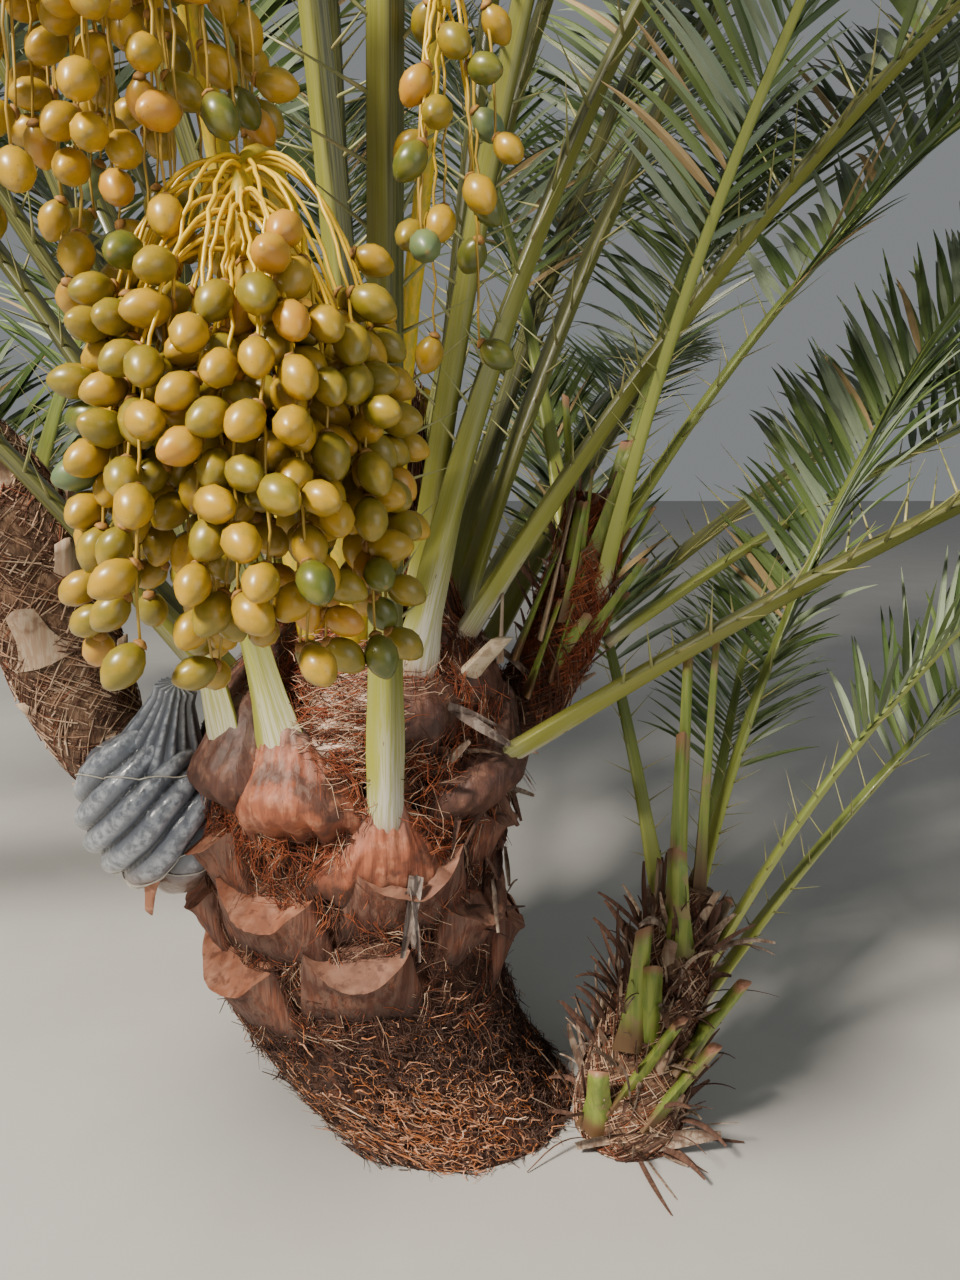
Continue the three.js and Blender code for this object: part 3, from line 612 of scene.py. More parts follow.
# %% [markdown]
# Roots. A date palm sends short roots out of the foot of its stem, thickest near the ground. They
# are two centimetres long or so, and only a few of them lift off. Their colours are dealt out by
# chance, with most of the young orange ones in one patch at the front.

# %% Roots round the foot
ROOTS = 9600
n = np.arange(ROOTS)
azimuth = 360 * chance(n, 51)
z = 0.008 + 0.27 * chance(n, 52) ** 1.25
out = skirt(z) - 0.010 + 0.016 * chance(n, 53)
out = out + 0.010 * rough(on_trunk(azimuth, z), 62, 4) * rooty(z)
slant = 360 * chance(n, 54)
length = lerp(0.010, 0.042, chance(n, 55) ** 1.5)
thick = lerp(0.0006, 0.0021, chance(n, 56) ** 2.5)
lift = length * lerp(0.0, 0.8, chance(n, 59) ** 2.5)
patch = np.exp(-(away(azimuth, -80) / 42) ** 2 - ((z - 0.085) / 0.075) ** 2)
pick = chance(n, 58)
bright = np.select([pick < 0.20 * patch, pick < 0.10 + 0.80 * patch], [2, 1], 0)
roots = Surfaces()
roots.add(creeping(azimuth, z, out, slant, length, thick, 0.13, lift, 57), bright, wrap=True)
ROOT_FINISHES = [root_brown, root_orange, root_pale]
roots.build("root_cushion", ROOT_FINISHES, ["trunk"], "bark")

# %% [markdown]
# Fibre between the leaf bases is red and brown with pale threads, and redder in front and higher
# up. It lies in locks with some strays across them. So place, slant and length are chosen once
# for each lock, and each fibre only departs from them a little.

# %% Colours of the fibre
RED, BROWN, PALE = 0, 1, 2
hair_red = Finish("red fibre", (0.22, 0.047, 0.016), 0.9)
hair_brown = Finish("brown fibre", (0.070, 0.027, 0.016), 0.9)
hair_pale = Finish("pale fibre", (0.42, 0.25, 0.155), 0.9)
for finish, tint in ((hair_red, (0.40, 0.115, 0.040)), (hair_brown, (0.16, 0.065, 0.036)),
                     (hair_pale, (0.62, 0.47, 0.34))):
    finish.over("blotches", tint, 0.7, Scale=35, Low=0.42, High=0.6)
HAIR_FINISHES = [hair_red, hair_brown, hair_pale]
print("colours of fibre:", len(HAIR_FINISHES))


def kinds_of_hair(count, seed, red, brown):
    """Dealt out by chance: red below the first share, brown below the second, else pale."""
    pick = chance(np.arange(count), seed)
    return np.select([pick < red, pick < np.asarray(red) + brown], [RED, BROWN], PALE)


# %% Fibre between the leaf bases
HAIRS, LOCK = 10800, 9  # fibres in all, and how many lie side by side
n = np.arange(HAIRS)
lock, stray = n // LOCK, (chance(n, 70) < 0.25) * 1.0
azimuth = 360 * chance(lock, 61) + lerp(5, 30, stray) * swing(n, 71)
z = 0.22 + 0.66 * chance(lock, 62) + lerp(0.02, 0.10, stray) * swing(n, 72)
out = 0.004 + 0.024 * chance(lock, 63) ** 1.3 + 0.006 * chance(n, 73)
slant = 360 * chance(lock, 64) + lerp(16, 180, stray) * swing(n, 74)
length = lerp(0.025, 0.115, chance(lock, 65) ** 1.4) * between(0.7, 1.1, n, 75)
lift = length * lerp(-0.05, 0.42, chance(lock, 69) ** 2.2)
close = lerp(0.35, 1, smooth(0.50, 0.60, z))
out, lift = out * close, lift * close
red = 0.15 + 0.45 * smooth(0.40, 0.62, z) * (0.35 + 0.65 * in_front(azimuth))
hairs = Surfaces()
kind = kinds_of_hair(HAIRS, 66, red, 0.87 - red)
thick = 0.0005 + 0.0007 * chance(n, 67)
hairs.add(creeping(azimuth, z, out, slant, length, thick, 0.06, lift, 68, lock=LOCK), kind, wrap=True)
hairs.build("trunk_fibre", HAIR_FINISHES, ["trunk"], "bark")

# %% [markdown]
# A torn sheath. Between two of the front fronds a sheet of papery sheath lies open on the stem,
# pale, folded across and half hidden by loose fibre. Its height over the stem is a sum of rounded
# folds, and dies away towards its rim so that no edge hangs in the air.

# %% Loose fibre on the torn sheath
SHEET_AZIMUTH, SHEET_Z, SHEET_HAIRS = -91, 0.765, 900
n = np.arange(SHEET_HAIRS)
azimuth = SHEET_AZIMUTH + 26 * (chance(n, 71) + chance(n, 72) + chance(n, 80) - 1.5)
z = SHEET_Z + 0.17 * (chance(n, 73) + chance(n, 81) - 1)
slant = np.where(chance(n, 74) < 0.5, 14, 166) + 70 * swing(n, 75)
length, lift = between(0.02, 0.06, n, 76), np.full(SHEET_HAIRS, 0.003)
out = 0.012 + 0.034 * chance(n, 77)
thick = 0.0005 + 0.0006 * chance(n, 82)
hairs = Surfaces()
hairs.add(creeping(azimuth, z, out, slant, length, thick, 0.05, lift, 78, rows=6),
          kinds_of_hair(SHEET_HAIRS, 79, 0.30, 0.30), wrap=True)
hairs.build("trunk_fibre_sheet", HAIR_FINISHES, ["trunk"], "bark")

# %% [markdown]
# The heart. Above the trunk the youngest fronds are still wrapped in brown pleated sheaths with a
# ragged rim. They are one surface round an upright axis: the radius comes from a short table, the
# pleats from the sine of the azimuth, and each stretch of the rim has a height of its own.

# %% Brown sheaths that wrap the heart of the crown
HEART = np.array([  # height, radius
    (0.78, 0.170), (0.86, 0.140), (0.95, 0.100), (1.05, 0.082), (1.18, 0.066), (1.34, 0.040),
])
HEART_MIDDLE = -0.130  # its axis in x


def on_heart(azimuth, z, out=0.0):
    """The point at an azimuth and height on the wrapped heart, some way out from it."""
    azimuth, z, out = np.broadcast_arrays(np.radians(azimuth), z, out)
    r = np.interp(z, HEART[:, 0], HEART[:, 1]) + out
    return np.stack([HEART_MIDDLE + r * np.cos(azimuth), r * np.sin(azimuth), z], -1)


turn, share = np.meshgrid(np.arange(120) * 3.0, evenly(70))
top = HEART[-1, 0] - 0.22 * chance(np.round(turn / 24) % 15, 83)
pleats = 0.012 * np.abs(np.sin(np.radians(turn) * 7.5 + 2 * share)) * smooth(0, 0.3, share)
wrapped = on_heart(turn, lerp(HEART[0, 0], top, share), pleats)
heart = Surfaces()
# The wrapping takes the nearly black matted fibre finish. This is partly the sheaths' own brown fibre and
# partly painted shade deep in the crown, between the stalks.
heart.add(wrapped + 0.006 * rough(wrapped, 70, 5)[..., None], 0, wrap=True, caps="z")

# %% Locks of fibre on the heart
HEART_HAIRS, HEART_LOCK, HEART_ROWS = 1600, 6, 6
n = np.arange(HEART_HAIRS)
lock, s = n // HEART_LOCK, evenly(HEART_ROWS)
azimuth = 360 * chance(lock, 84) + 9 * swing(n, 87)
azimuth = azimuth[:, None] + 40 * swing(lock, 88)[:, None] * s
z = between(0.80, 1.20, lock, 85)[:, None] + between(0.05, 0.16, n, 86)[:, None] * s
out = 0.010 + 0.012 * chance(n, 89)[:, None] + 0.020 * s**3 * chance(n, 90)[:, None]
fibres = tubes(on_heart(azimuth, z, out), 0.0009 * np.linspace(1, 0.4, HEART_ROWS), 3)
heart.add(fibres, 1 + kinds_of_hair(HEART_HAIRS, 91, 0.25, 0.55), wrap=True)
heart.build("heart_sheaths", [core, *HAIR_FINISHES], ["trunk"], "bark")

# %% The torn papery sheath
papery = Finish("papery sheath", (0.60, 0.43, 0.33), 0.8)
papery.over("fibres", (0.74, 0.60, 0.49), 0.8, Across=18, Along=150)
papery.over("blotches", (0.24, 0.085, 0.045), 0.7, Scale=26, Low=0.52, High=0.62)
papery.over("fibres", (0.10, 0.040, 0.025), 0.35, Across=26, Along=230)
papery.bump("fibres", 0.6, 0.005, Across=20, Along=170)
u, v = np.meshgrid(np.linspace(-1, 1, 60), np.linspace(-1, 1, 90))
grid = np.stack([u * 2, v * 2, 0 * u], -1)
azimuth = SHEET_AZIMUTH + 15 * u * (1 + 0.25 * rough(grid, 3, 6))
z = SHEET_Z + 0.088 * v + 0.012 * rough(grid, 3, 7)
folds = np.abs(np.sin(9 * v + 1.6 * rough(grid, 1.6, 8) + 0.6 * u)) ** 0.7
rim = np.sqrt(np.clip(1 - u**6, 0, 1) * np.clip(1 - v**8, 0, 1))
paper = Surfaces()
paper.add(on_trunk(azimuth, z, -0.012 + (0.026 + 0.013 * folds + 0.004 * rough(grid, 9, 9)) * rim))
paper.build("trunk_papery_sheath", [papery], ["trunk"], "bark")

# %% [markdown]
# The fronds. A frond of this palm is some three metres long: a stout stalk, channelled above and
# round below, that starts in a broad sheath clasping the stem, and goes on as the rib of a feather
# of narrow leaflets. The solids have one coarse blade for each. Its line is a rule: the frond
# leaves its foot at an azimuth and an elevation, and droops by a power of the share t of its
# length. The same rule and numbers are written here again, so that each finer frond lies along
# its solid.

# %% The line of a frond
DROOP_POWER, LEAFLETS_FROM = 1.25, 0.34
STALK_WIDTH, STALK_THICK, TIP_WIDTH, TIP_THICK = 0.052, 0.038, 0.009, 0.006
SHEATH_FADE, SHEATH_THICKER = 0.110, 0.008
SHEATH, HEART_SHEATH = 0.096, 0.066  # width of a frond's foot, and of one in the crowded heart
TWIST_OUT = 0.9  # length over which a stalk turns from facing the stem to its own way


def frond_line(f, shares):
    """Points, tangents and two square directions at shares of the length. The tangent is
    heading(azimuth + sweep t, elevation - droop t^1.25), and the points are its running sum."""
    steps = 144
    middle = (np.arange(steps) + 0.5) / steps

    def tangent(t):
        return heading(f["azimuth"] + f["sweep"] * t, f["elevation"] - f["droop"] * t**DROOP_POWER)

    at = np.vstack([np.zeros(3), np.cumsum(tangent(middle), 0)]) * f["length"] / steps
    whole = evenly(steps + 1)
    points = np.stack([np.interp(shares, whole, at[:, k]) for k in range(3)], -1) + f["foot"]
    along = tangent(shares)
    side = heading(f["azimuth"] + f["sweep"] * shares + 90, 0)
    pressed = heading(f["foot_azimuth"] + 90, 0)  # square to the stem's radius at the foot
    own = smooth(0.05, TWIST_OUT, shares * f["length"])[:, None]
    side = lerp(pressed, side, own)
    side = unit(side - along * (side * along).sum(-1, keepdims=True))
    return points, along, side, np.cross(along, side)


def rib_size(f, t):
    """Width and thickness: both taper with (1 - t)^0.9, and the sheath at the foot fades out."""
    fade, taper = np.exp(-t * f["length"] / SHEATH_FADE), (1 - t) ** 0.9
    width = lerp(TIP_WIDTH, STALK_WIDTH, taper) + (f["sheath"] - STALK_WIDTH) * fade
    thick = lerp(TIP_THICK, STALK_THICK, taper) + SHEATH_THICKER * fade
    return f["girth"] * width, f["girth"] * thick


SECTION = turns(22)


def section():
    """A stalk's outline for a width and thickness of 1: a shallow channel above, sharp sides, and
    a ridge below, y = -0.6 (1 - |2x|^1.3)."""
    x = np.sign(np.cos(SECTION)) * np.abs(np.cos(SECTION)) ** 0.8 / 2
    above = 0.36 * (1 - np.abs(2 * x) ** 5) - 0.10 * (1 - (2 * x) ** 2)
    below = -0.60 * (1 - np.abs(2 * x) ** 1.3)
    return x, np.where(np.sin(SECTION) > 0, above, below)


# %% [markdown]
# The crown has 28 fronds. Those that the picture shows have a row each. Those at the back follow
# in three tiers, whose azimuths are spread evenly and then moved a little by chance. The heart's
# fronds stand closest together, so their feet are narrower.

# %% The fronds of the crown
SHOWN = [  # name, azimuth and height of the foot, azimuth, elevation, droop, length, girth, sheath
    ("front", -72, 0.590, -81, 77, 34, 3.3, 1, SHEATH),
    ("front_left", -104, 0.630, 147, 74, 64, 3.1, 1, SHEATH),
    ("front_left_low", -132, 0.640, 182, 83, 64, 3.0, 1, SHEATH),
    ("heart_front", -62, 0.810, 14, 78, 74, 3.4, 1, SHEATH),
    ("heart_upright", -15, 0.905, 20, 86, 26, 3.3, 1, HEART_SHEATH),
    ("heart_back", 66, 0.890, 27, 80, 46, 3.4, 1, HEART_SHEATH),
    ("heart_rear", 118, 0.890, 100, 80, 50, 3.3, 1, HEART_SHEATH),
    ("front_high_1", -46, 0.888, -42, 80, 46, 3.2, 1, HEART_SHEATH),
    ("front_high_2", -92, 0.900, -104, 83, 44, 3.3, 1, HEART_SHEATH),
    ("front_high_3", -146, 0.886, -148, 80, 48, 3.2, 1, HEART_SHEATH),
    ("right_high", 27, 0.852, 25, 71, 50, 3.3, 1, SHEATH),
    ("right", -18, 0.846, 3, 58, 44, 3.2, 1, SHEATH),
    ("right_low", -28, 0.640, -3, 33, 24, 2.6, 1.05, SHEATH),
    ("left_1", 158, 0.700, 160, 43, 34, 2.9, 1, SHEATH),
    ("left_2", -172, 0.735, 194, 54, 40, 3.0, 1, SHEATH),
    ("left_3", 165, 0.790, 168, 60, 42, 3.2, 1, SHEATH),
    ("left_4", -160, 0.825, 186, 66, 44, 3.2, 1, SHEATH),
    ("left_5", 164, 0.862, 158, 74, 50, 3.3, 1, HEART_SHEATH),
]
BACK_TIERS = [  # count, first and last azimuth, height, elevation, droop, length
    (4, 30, 138, 0.640, 36, 30, 2.8),
    (4, 36, 130, 0.730, 54, 42, 3.1),
    (2, 52, 118, 0.810, 68, 44, 3.3),
]


def crown_fronds():
    """A dictionary for each frond, from the rows above and from tiers spread over azimuths."""
    rows = list(SHOWN)
    for tier, (count, first, last, z, elevation, droop, length) in enumerate(BACK_TIERS):
        for i in range(count):
            azimuth = lerp(first, last, i / (count - 1))
            turned = azimuth + 4 * swing(i, tier + 10)
            raised = elevation + 5 * swing(i, tier + 20)
            long = length * (0.95 + 0.1 * chance(i, tier + 30))
            height = z + 0.014 * chance(i, tier)
            name = f"back_{tier + 1}{'abcd'[i]}"
            rows.append((name, azimuth, height, turned, raised, droop, long, 1, SHEATH))
    fronds = []
    for i, (name, at, z, azimuth, elevation, droop, length, girth, sheath) in enumerate(rows):
        fronds.append({
            "node": f"frond_{name}", "foot_azimuth": at, "foot": on_trunk(at, z, 0.012),
            "azimuth": azimuth, "elevation": elevation, "droop": droop, "length": length,
            "girth": girth, "sheath": sheath, "sweep": 8 * swing(i, 5),
            "leaflet": 0.430, "seed": i + 1, "pairs": 116, "spines": 15,
            "flare": {"front": 0.08, "right_low": 0.25}.get(name, 0.60),
            "lifted": {"front_left": 0.060, "front_left_low": 0.075, "right_low": 0.060}.get(name, 0),
        })
    return fronds


crown = crown_fronds()
print("crown fronds:", len(crown))

# %% [markdown]
# The offshoots are young palms that grow out of the big one: one high on its right flank, one in
# the ground on the right, and one on the left whose foot is packed in a sack. Each has a stem,
# given as a few points with a radius, and four or five short fronds round its top.

# %% The fronds of the three offshoots
OFFSHOOTS = {
    "upper": {
        "stem": [  # x, y, z, radius
            (0.000, 0.010, 0.600, 0.040), (0.110, 0.025, 0.690, 0.046),
            (0.180, 0.038, 0.800, 0.048), (0.226, 0.046, 0.940, 0.046),
            (0.246, 0.050, 1.070, 0.026),
        ],
        "length": 1.75, "leaflet": 0.300, "girth": 0.62, "seed": 100,
        # rise above the crown, azimuth, elevation, distance out
        "shown": [(-0.125, 2, 36, 0.042), (0, 14, 58, 0.022), (-0.050, -50, 74, 0.038)],
        "rest": [(-0.110, 62, 60), (-0.020, 108, 66)],
    },
    "lower": {
        "stem": [
            (0.296, -0.110, 0.000, 0.082), (0.306, -0.110, 0.060, 0.088),
            (0.340, -0.108, 0.190, 0.074), (0.378, -0.104, 0.330, 0.056),
            (0.406, -0.100, 0.430, 0.028),
        ],
        "length": 1.50, "leaflet": 0.260, "girth": 0.55, "seed": 200,
        # the first and the last stand five degrees right and left of their rule, to clear others
        "shown": [(0, 30 - 5, 76, 0.016), (-0.060, -16, 66, 0.034), (-0.110, 4, 57, 0.040)],
        "rest": [(-0.110, 66, 46), (-0.020, 100 + 5, 64)],
    },
    "left": {
        "stem": [
            (-0.390, -0.030, 0.575, 0.046), (-0.500, -0.048, 0.602, 0.058),
            (-0.578, -0.026, 0.650, 0.070), (-0.640, -0.008, 0.780, 0.090),
            (-0.690, 0.000, 0.920, 0.094), (-0.735, 0.004, 1.060, 0.082),
            (-0.772, 0.008, 1.180, 0.034),
        ],
        "length": 1.70, "leaflet": 0.300, "girth": 0.66, "seed": 300,
        "shown": [(0, 160, 78, 0.014), (-0.070, 200, 36, 0.050)],
        "rest": [(-0.110, 98, 46), (-0.020, 250, 40)],
    },
}
OFFSHOOT_DROOP, REST_OUT = 34, 0.034


def offshoot_fronds(name, plan):
    """Each leaves the stem at a height below its crown, a little out from the middle."""
    centre = np.array(plan["stem"][-2][:3])
    rows = plan["shown"] + [(*row, REST_OUT) for row in plan["rest"]]
    fronds = []
    for i, (rise, azimuth, elevation, out) in enumerate(rows):
        foot = centre + (0, 0, rise) + heading(azimuth, 0) * out
        fronds.append({
            "node": f"{name}_offshoot_frond_{i + 1}", "foot_azimuth": azimuth, "foot": foot,
            "azimuth": azimuth, "elevation": elevation, "droop": OFFSHOOT_DROOP,
            "length": plan["length"] * (0.85 + 0.2 * chance(i, plan["seed"] + 3)),
            "girth": plan["girth"], "sheath": HEART_SHEATH, "leaflet": plan["leaflet"],
            "sweep": 8 * swing(i, plan["seed"]), "seed": plan["seed"] + i,
            "pairs": 76, "spines": 9, "flare": 0, "lifted": 0,
        })
    return fronds


young = {name: offshoot_fronds(name, plan) for name, plan in OFFSHOOTS.items()}
print("offshoot fronds:", {name: len(rows) for name, rows in young.items()})

# %% [markdown]
# Stalks and ribs. Each is one closed surface: its outline is carried along the frond's line, from
# a little inside its sheath, where it ends in a torn collar. On the trunk a frond sits on the
# broad low dome of its sheath, which clasps the stem and is widest at its lower edge. The dome is
# a surface of u across and v upwards. The flow coordinate along both is the distance from the
# foot, so one finish can go from salmon sheath through white wax to green.

# %% The domes of the sheaths
HEART_SHARE = 0.55  # size of a sheath in the crowded heart of the crown
DOME_HALF = (0.122, 0.050)  # half width of a dome at its lower edge and by the stalk


def sheath_dome(surfaces, f, slot):
    """Half width lerp(low, high, v^1.2). It stands out most below the foot and least beside
    the stalk, times 1 - |u|^2.4, with rounded shoulders that fall away from the stalk. Above the
    foot its middle goes sideways with the stalk."""
    share = f["girth"] * (HEART_SHARE if f["sheath"] < SHEATH else 1)
    u = np.linspace(-1, 1, 57)
    v = evenly(38)[:, None]
    lean = 0.10 * np.sin(3.1 * f["seed"])
    half = lerp(*DOME_HALF, v**1.2) * share * (1 + 0.05 * np.sin(5 * v + f["seed"]))
    rise = lerp(-0.125, 0.068, v) - 0.070 * v**2 * np.abs(u - lean) ** 1.5
    ragged = 0.016 * rough(np.stack([9 * u, 0 * u, 0 * u + f["seed"]], -1), 3, 2) * (1 - v)
    height = f["foot"][2] + (rise + ragged) * share + f["lifted"]
    steep = np.radians(f["elevation"])
    aside = np.sin(np.radians(f["azimuth"] - f["foot_azimuth"])) / np.tan(steep)
    sideways = np.clip(aside, -0.8, 0.8) * np.clip(height - f["foot"][2], 0, None)
    turned = f["foot_azimuth"] + np.degrees((half * u + sideways) / trunk_radius(height))
    bulge = np.interp(v, [0, 0.18, 0.42, 0.62, 1], [0.016, 0.034, 0.040, 0.027, 0.014])
    bulge = bulge + 0.50 * f["lifted"] * smooth(0.02, 0.30, v)
    out = bulge * (1 - np.abs(u) ** 2.4) * share
    shoulder = np.sqrt(np.clip(1 - (np.clip(v - 0.84, 0, 1) / 0.16) ** 2, 0, 1))
    out = lerp(-0.014, out, shoulder) + 0.003 * (1 - shoulder)
    flat = on_trunk(turned, height, out)
    creases = rough(np.stack([7 * u + 0 * v, 0 * u + v, 0 * u + 0 * v + f["seed"]], -1), 9, f["seed"])
    points = on_trunk(turned, height, out + (0.0022 * creases + 0.005 * rough(flat, 52, 3)) * shoulder)
    across = np.broadcast_to((u + 1) * 3, rise.shape)
    flow = np.stack([across, rise - 0.02 + 0.3 * f["lifted"]], -1)
    surfaces.add(above_ground(points), slot, flow=flow)


# %% Stalks and ribs
COLLAR = np.array([0.70, 0.98, 1.12, 1.04])  # widths of the rings that are hidden in the sheath


def rib(surfaces, f, slot=0, clasps=True):
    """One frond's stalk and rib. Rings stand close at the foot and wider apart towards the tip.
    A stalk that clasps the stem goes on down into its sheath in four more rings, and swells by
    exp(-(d / 0.06)^2) where it comes out of it."""
    x, y = section()
    t = evenly(48) ** 1.35
    at, along, side, up = frond_line(f, t)
    bare = dict(f, sheath=STALK_WIDTH) if clasps else f
    width, thick = rib_size(bare, t)
    distance = t * f["length"]
    rounded = np.where(y < 0, -0.45 * (1 - np.abs(2 * x) ** 3), y)
    y = lerp(rounded, y, smooth(0.0, 0.14, distance)[:, None])
    swollen = 1 + 0.14 * np.exp(-(((distance - 0.13) / 0.07) ** 2))
    swollen = swollen + f["flare"] * np.exp(-(((distance - f["lifted"]) / 0.06) ** 2))
    rings = at[:, None] + side[:, None] * ((width * swollen)[:, None] * x)[..., None]
    rings = rings + up[:, None] * (thick[:, None] * y)[..., None]
    if clasps:
        deepest = -0.085 if f["elevation"] < 50 else -0.050
        sunk = np.array([deepest, -0.030, -0.016, -0.008])
        lower = at[0] + along[0] * sunk[:, None, None] + (rings[0] - at[0]) * COLLAR[:, None, None]
        rings, distance = np.vstack([lower, rings]), np.concatenate([sunk, distance])
    flow = flow_of(SECTION / (2 * np.pi), distance[:, None])
    surfaces.add(above_ground(rings), slot, wrap=True, caps="az", flow=flow)


# %% [markdown]
# A stalk is salmon where it leaves the sheath, then white with wax, then green with a paler band
# along one side. All of it is measured by the flow coordinate, and the streaks are stretched
# along the flow too, so they run with the stalk however it bends.

# %% Finishes of the stalks and sheaths


def stalk_finish(name, green, edge, wax_reach=0.26):
    """White wax at the foot, then yellow-green that turns olive, with a paler side and streaks."""
    stalk = Finish(name, edge, 0.42, Coat_Weight=0.08)
    stalk.place = stalk.tree.nodes.new("ShaderNodeCombineXYZ").outputs["Vector"]
    across, along = stalk.flow("X"), stalk.flow("Y")
    stalk.tree.links.new(across, stalk.place.node.inputs["X"])
    stalk.tree.links.new(along, stalk.place.node.inputs["Z"])
    streaks = stalk.mask("fibres", Across=34, Along=5)
    fine = stalk.mask("fibres", Across=90, Along=11)
    stalk.layer(green, stalk.step(along, 0.06, 0.42))
    pale_side = stalk.times(stalk.step(across, 0.50, 0.56), stalk.step(across, 0.78, 0.74))
    stalk.layer(edge, pale_side, 0.55)
    stalk.layer(edge, streaks, 0.25)
    wax = stalk.times(stalk.step(along, wax_reach, 0.02), stalk.step(fine, -0.5, 1))
    stalk.layer((0.62, 0.57, 0.50), stalk.times(wax, stalk.step(across, 0.66, 0.72)), 0.9)
    stalk.layer((0.62, 0.57, 0.50), stalk.times(wax, stalk.step(along, 0.10, 0.0)), 0.75)
    salmon = stalk.times(stalk.step(along, 0.035, -0.02), stalk.step(fine, 1.5, 0))
    stalk.layer((0.42, 0.25, 0.18), salmon, 0.9)
    stalk.layer((0.36, 0.36, 0.27), fine, 0.14)
    stalk.over("specks", (0.16, 0.10, 0.05), 0.8, Scale=22, Size=0.09, Rare=0.8)
    stalk.layer((0.17, 0.070, 0.040), stalk.step(along, 0.015, -0.035), 0.95)
    return stalk


def sheath_finish(name, colour, dark, light, stains, waxy):
    """The clasping foot: patches, dark stains, painted shade along the lower edge, and wax where the stalk
    starts.
    """
    skin = Finish(name, colour, 0.6)
    skin.over("blotches", dark, 0.75, Scale=13, Low=0.42, High=0.64)
    skin.over("blotches", light, 0.6, Scale=31, Low=0.50, High=0.62)
    skin.over("fibres", dark, 0.5, Across=90, Along=16)
    skin.over("blotches", (0.050, 0.020, 0.013), 0.8, Scale=stains, Low=0.54, High=0.62)
    wax = skin.times(skin.step(skin.flow("Y"), -0.070, 0.02), skin.mask("fibres", Across=60, Along=7))
    skin.layer((0.44, 0.33, 0.28), wax, waxy)
    # Painted shade: nearly black along the lower edge of the dome, where it meets the fibre below.
    skin.layer((0.045, 0.018, 0.011), skin.step(skin.flow("Y"), -0.085, -0.145), 0.9)
    return skin.bump("fibres", 0.4, 0.005, Across=120, Along=14)


GREEN, EDGE = (0.042, 0.045, 0.007), (0.30, 0.30, 0.035)
# The old sheath is darker partly because older sheaths are browner and partly as painted shade on the
# trunk's flanks and back.
STALKS = [
    stalk_finish("stalk", GREEN, EDGE),
    stalk_finish("young stalk", (0.105, 0.145, 0.020), (0.36, 0.39, 0.060), 0.08),
    sheath_finish("sheath", (0.36, 0.108, 0.048), (0.16, 0.042, 0.020), (0.50, 0.215, 0.120), 8, 0.32),
    sheath_finish("old sheath with painted shade", (0.110, 0.042, 0.026), (0.050, 0.019, 0.012), (0.23, 0.110, 0.070),
                  17, 0.15),
]
FRESH, OLD_AND_SHADED = 2, 3  # slots of the two sheaths
print("finishes of stalks and sheaths:", len(STALKS))

# %% The stalks of all fronds
GROUPS_OF_FRONDS = {
    "front": [f for f in crown if f["node"].startswith(("frond_front", "frond_heart"))],
    "side": [f for f in crown if f["node"].startswith(("frond_right", "frond_left"))],
    "back": [f for f in crown if "back_" in f["node"]],
    "offshoot": [f for rows in young.values() for f in rows],
}
for group, fronds in GROUPS_OF_FRONDS.items():
    ribs = Surfaces()
    for f in fronds:
        rib(ribs, f, 1 if group == "offshoot" else 0, clasps=group != "offshoot")
        if group != "offshoot":
            # The two front domes take the fresh sheath. The rest take the old one, which also carries
            # painted shade.
            sheath_dome(ribs, f, FRESH if f["node"] in ("frond_front", "frond_front_left") else OLD_AND_SHADED)
    ribs.build(f"{group}_stalks", STALKS, [f["node"] for f in fronds], "leaf")

# %% [markdown]
# A sheath frays at its edges. The fibres use the same rule for width and height as the dome under
# them, so that each lock starts on its edge. Half of the locks follow the edge and half lie any
# way. The fronds at the back have half as many.

# %% Fibre that the edges of the sheaths fray into
EDGE_HAIRS, EDGE_LOCK = 440, 6  # fibres of a frond, and how many lie side by side
margins = Surfaces()
for f in crown:
    count, seed = EDGE_HAIRS // (2 if "back" in f["node"] else 1), f["seed"]
    n = np.arange(count)
    lock = n // EDGE_LOCK
    low = chance(lock, seed + 41) < 0.35  # at the lower edge, and the others at the sides
    v = chance(lock, seed + 31) + 0.08 * swing(n, 4)
    v = np.where(low, 0.15 * v - 0.03, v)
    sign = np.where(chance(lock, seed + 32) < 0.5, 1, -1)
    inwards = lerp(np.where(low, 0, 0.42), 1.2, chance(lock, seed + 33))
    u = sign * (inwards + 0.10 * swing(n, 5))
    share = HEART_SHARE if f["sheath"] < SHEATH else 1
    rise = lerp(-0.145, 0.07, v) - 0.07 * v**2 * np.abs(u)
    z = f["foot"][2] + f["lifted"] + rise * share
    azimuth = f["foot_azimuth"] + np.degrees(lerp(*DOME_HALF, v) * share * u / trunk_radius(z))
    slant = np.where(sign > 0, -62, 242) + 50 * swing(lock, seed + 34)
    slant = np.where(chance(lock, seed + 42) < 0.5, slant, 360 * chance(lock, seed + 34))
    slant = slant + 14 * swing(n, 3)
    length = between(0.02, 0.075, n, seed + 35)
    out = lerp(0.026, 0.006, np.abs(u) / 1.25) * (1 - 0.3 * low) + 0.012 * chance(n, seed + 36)
    lift = length * lerp(-0.1, 0.3, chance(n, seed + 37) ** 2)
    thick = 0.0005 + 0.0006 * chance(n, seed + 38)
    red = 0.60 if in_front(f["foot_azimuth"]) else 0.34
    fibres = creeping(azimuth, z, out, slant, length, thick, 0.05, lift, seed + 39, lock=EDGE_LOCK)
    margins.add(fibres, kinds_of_hair(count, seed + 40, red, 0.9 - red), wrap=True)

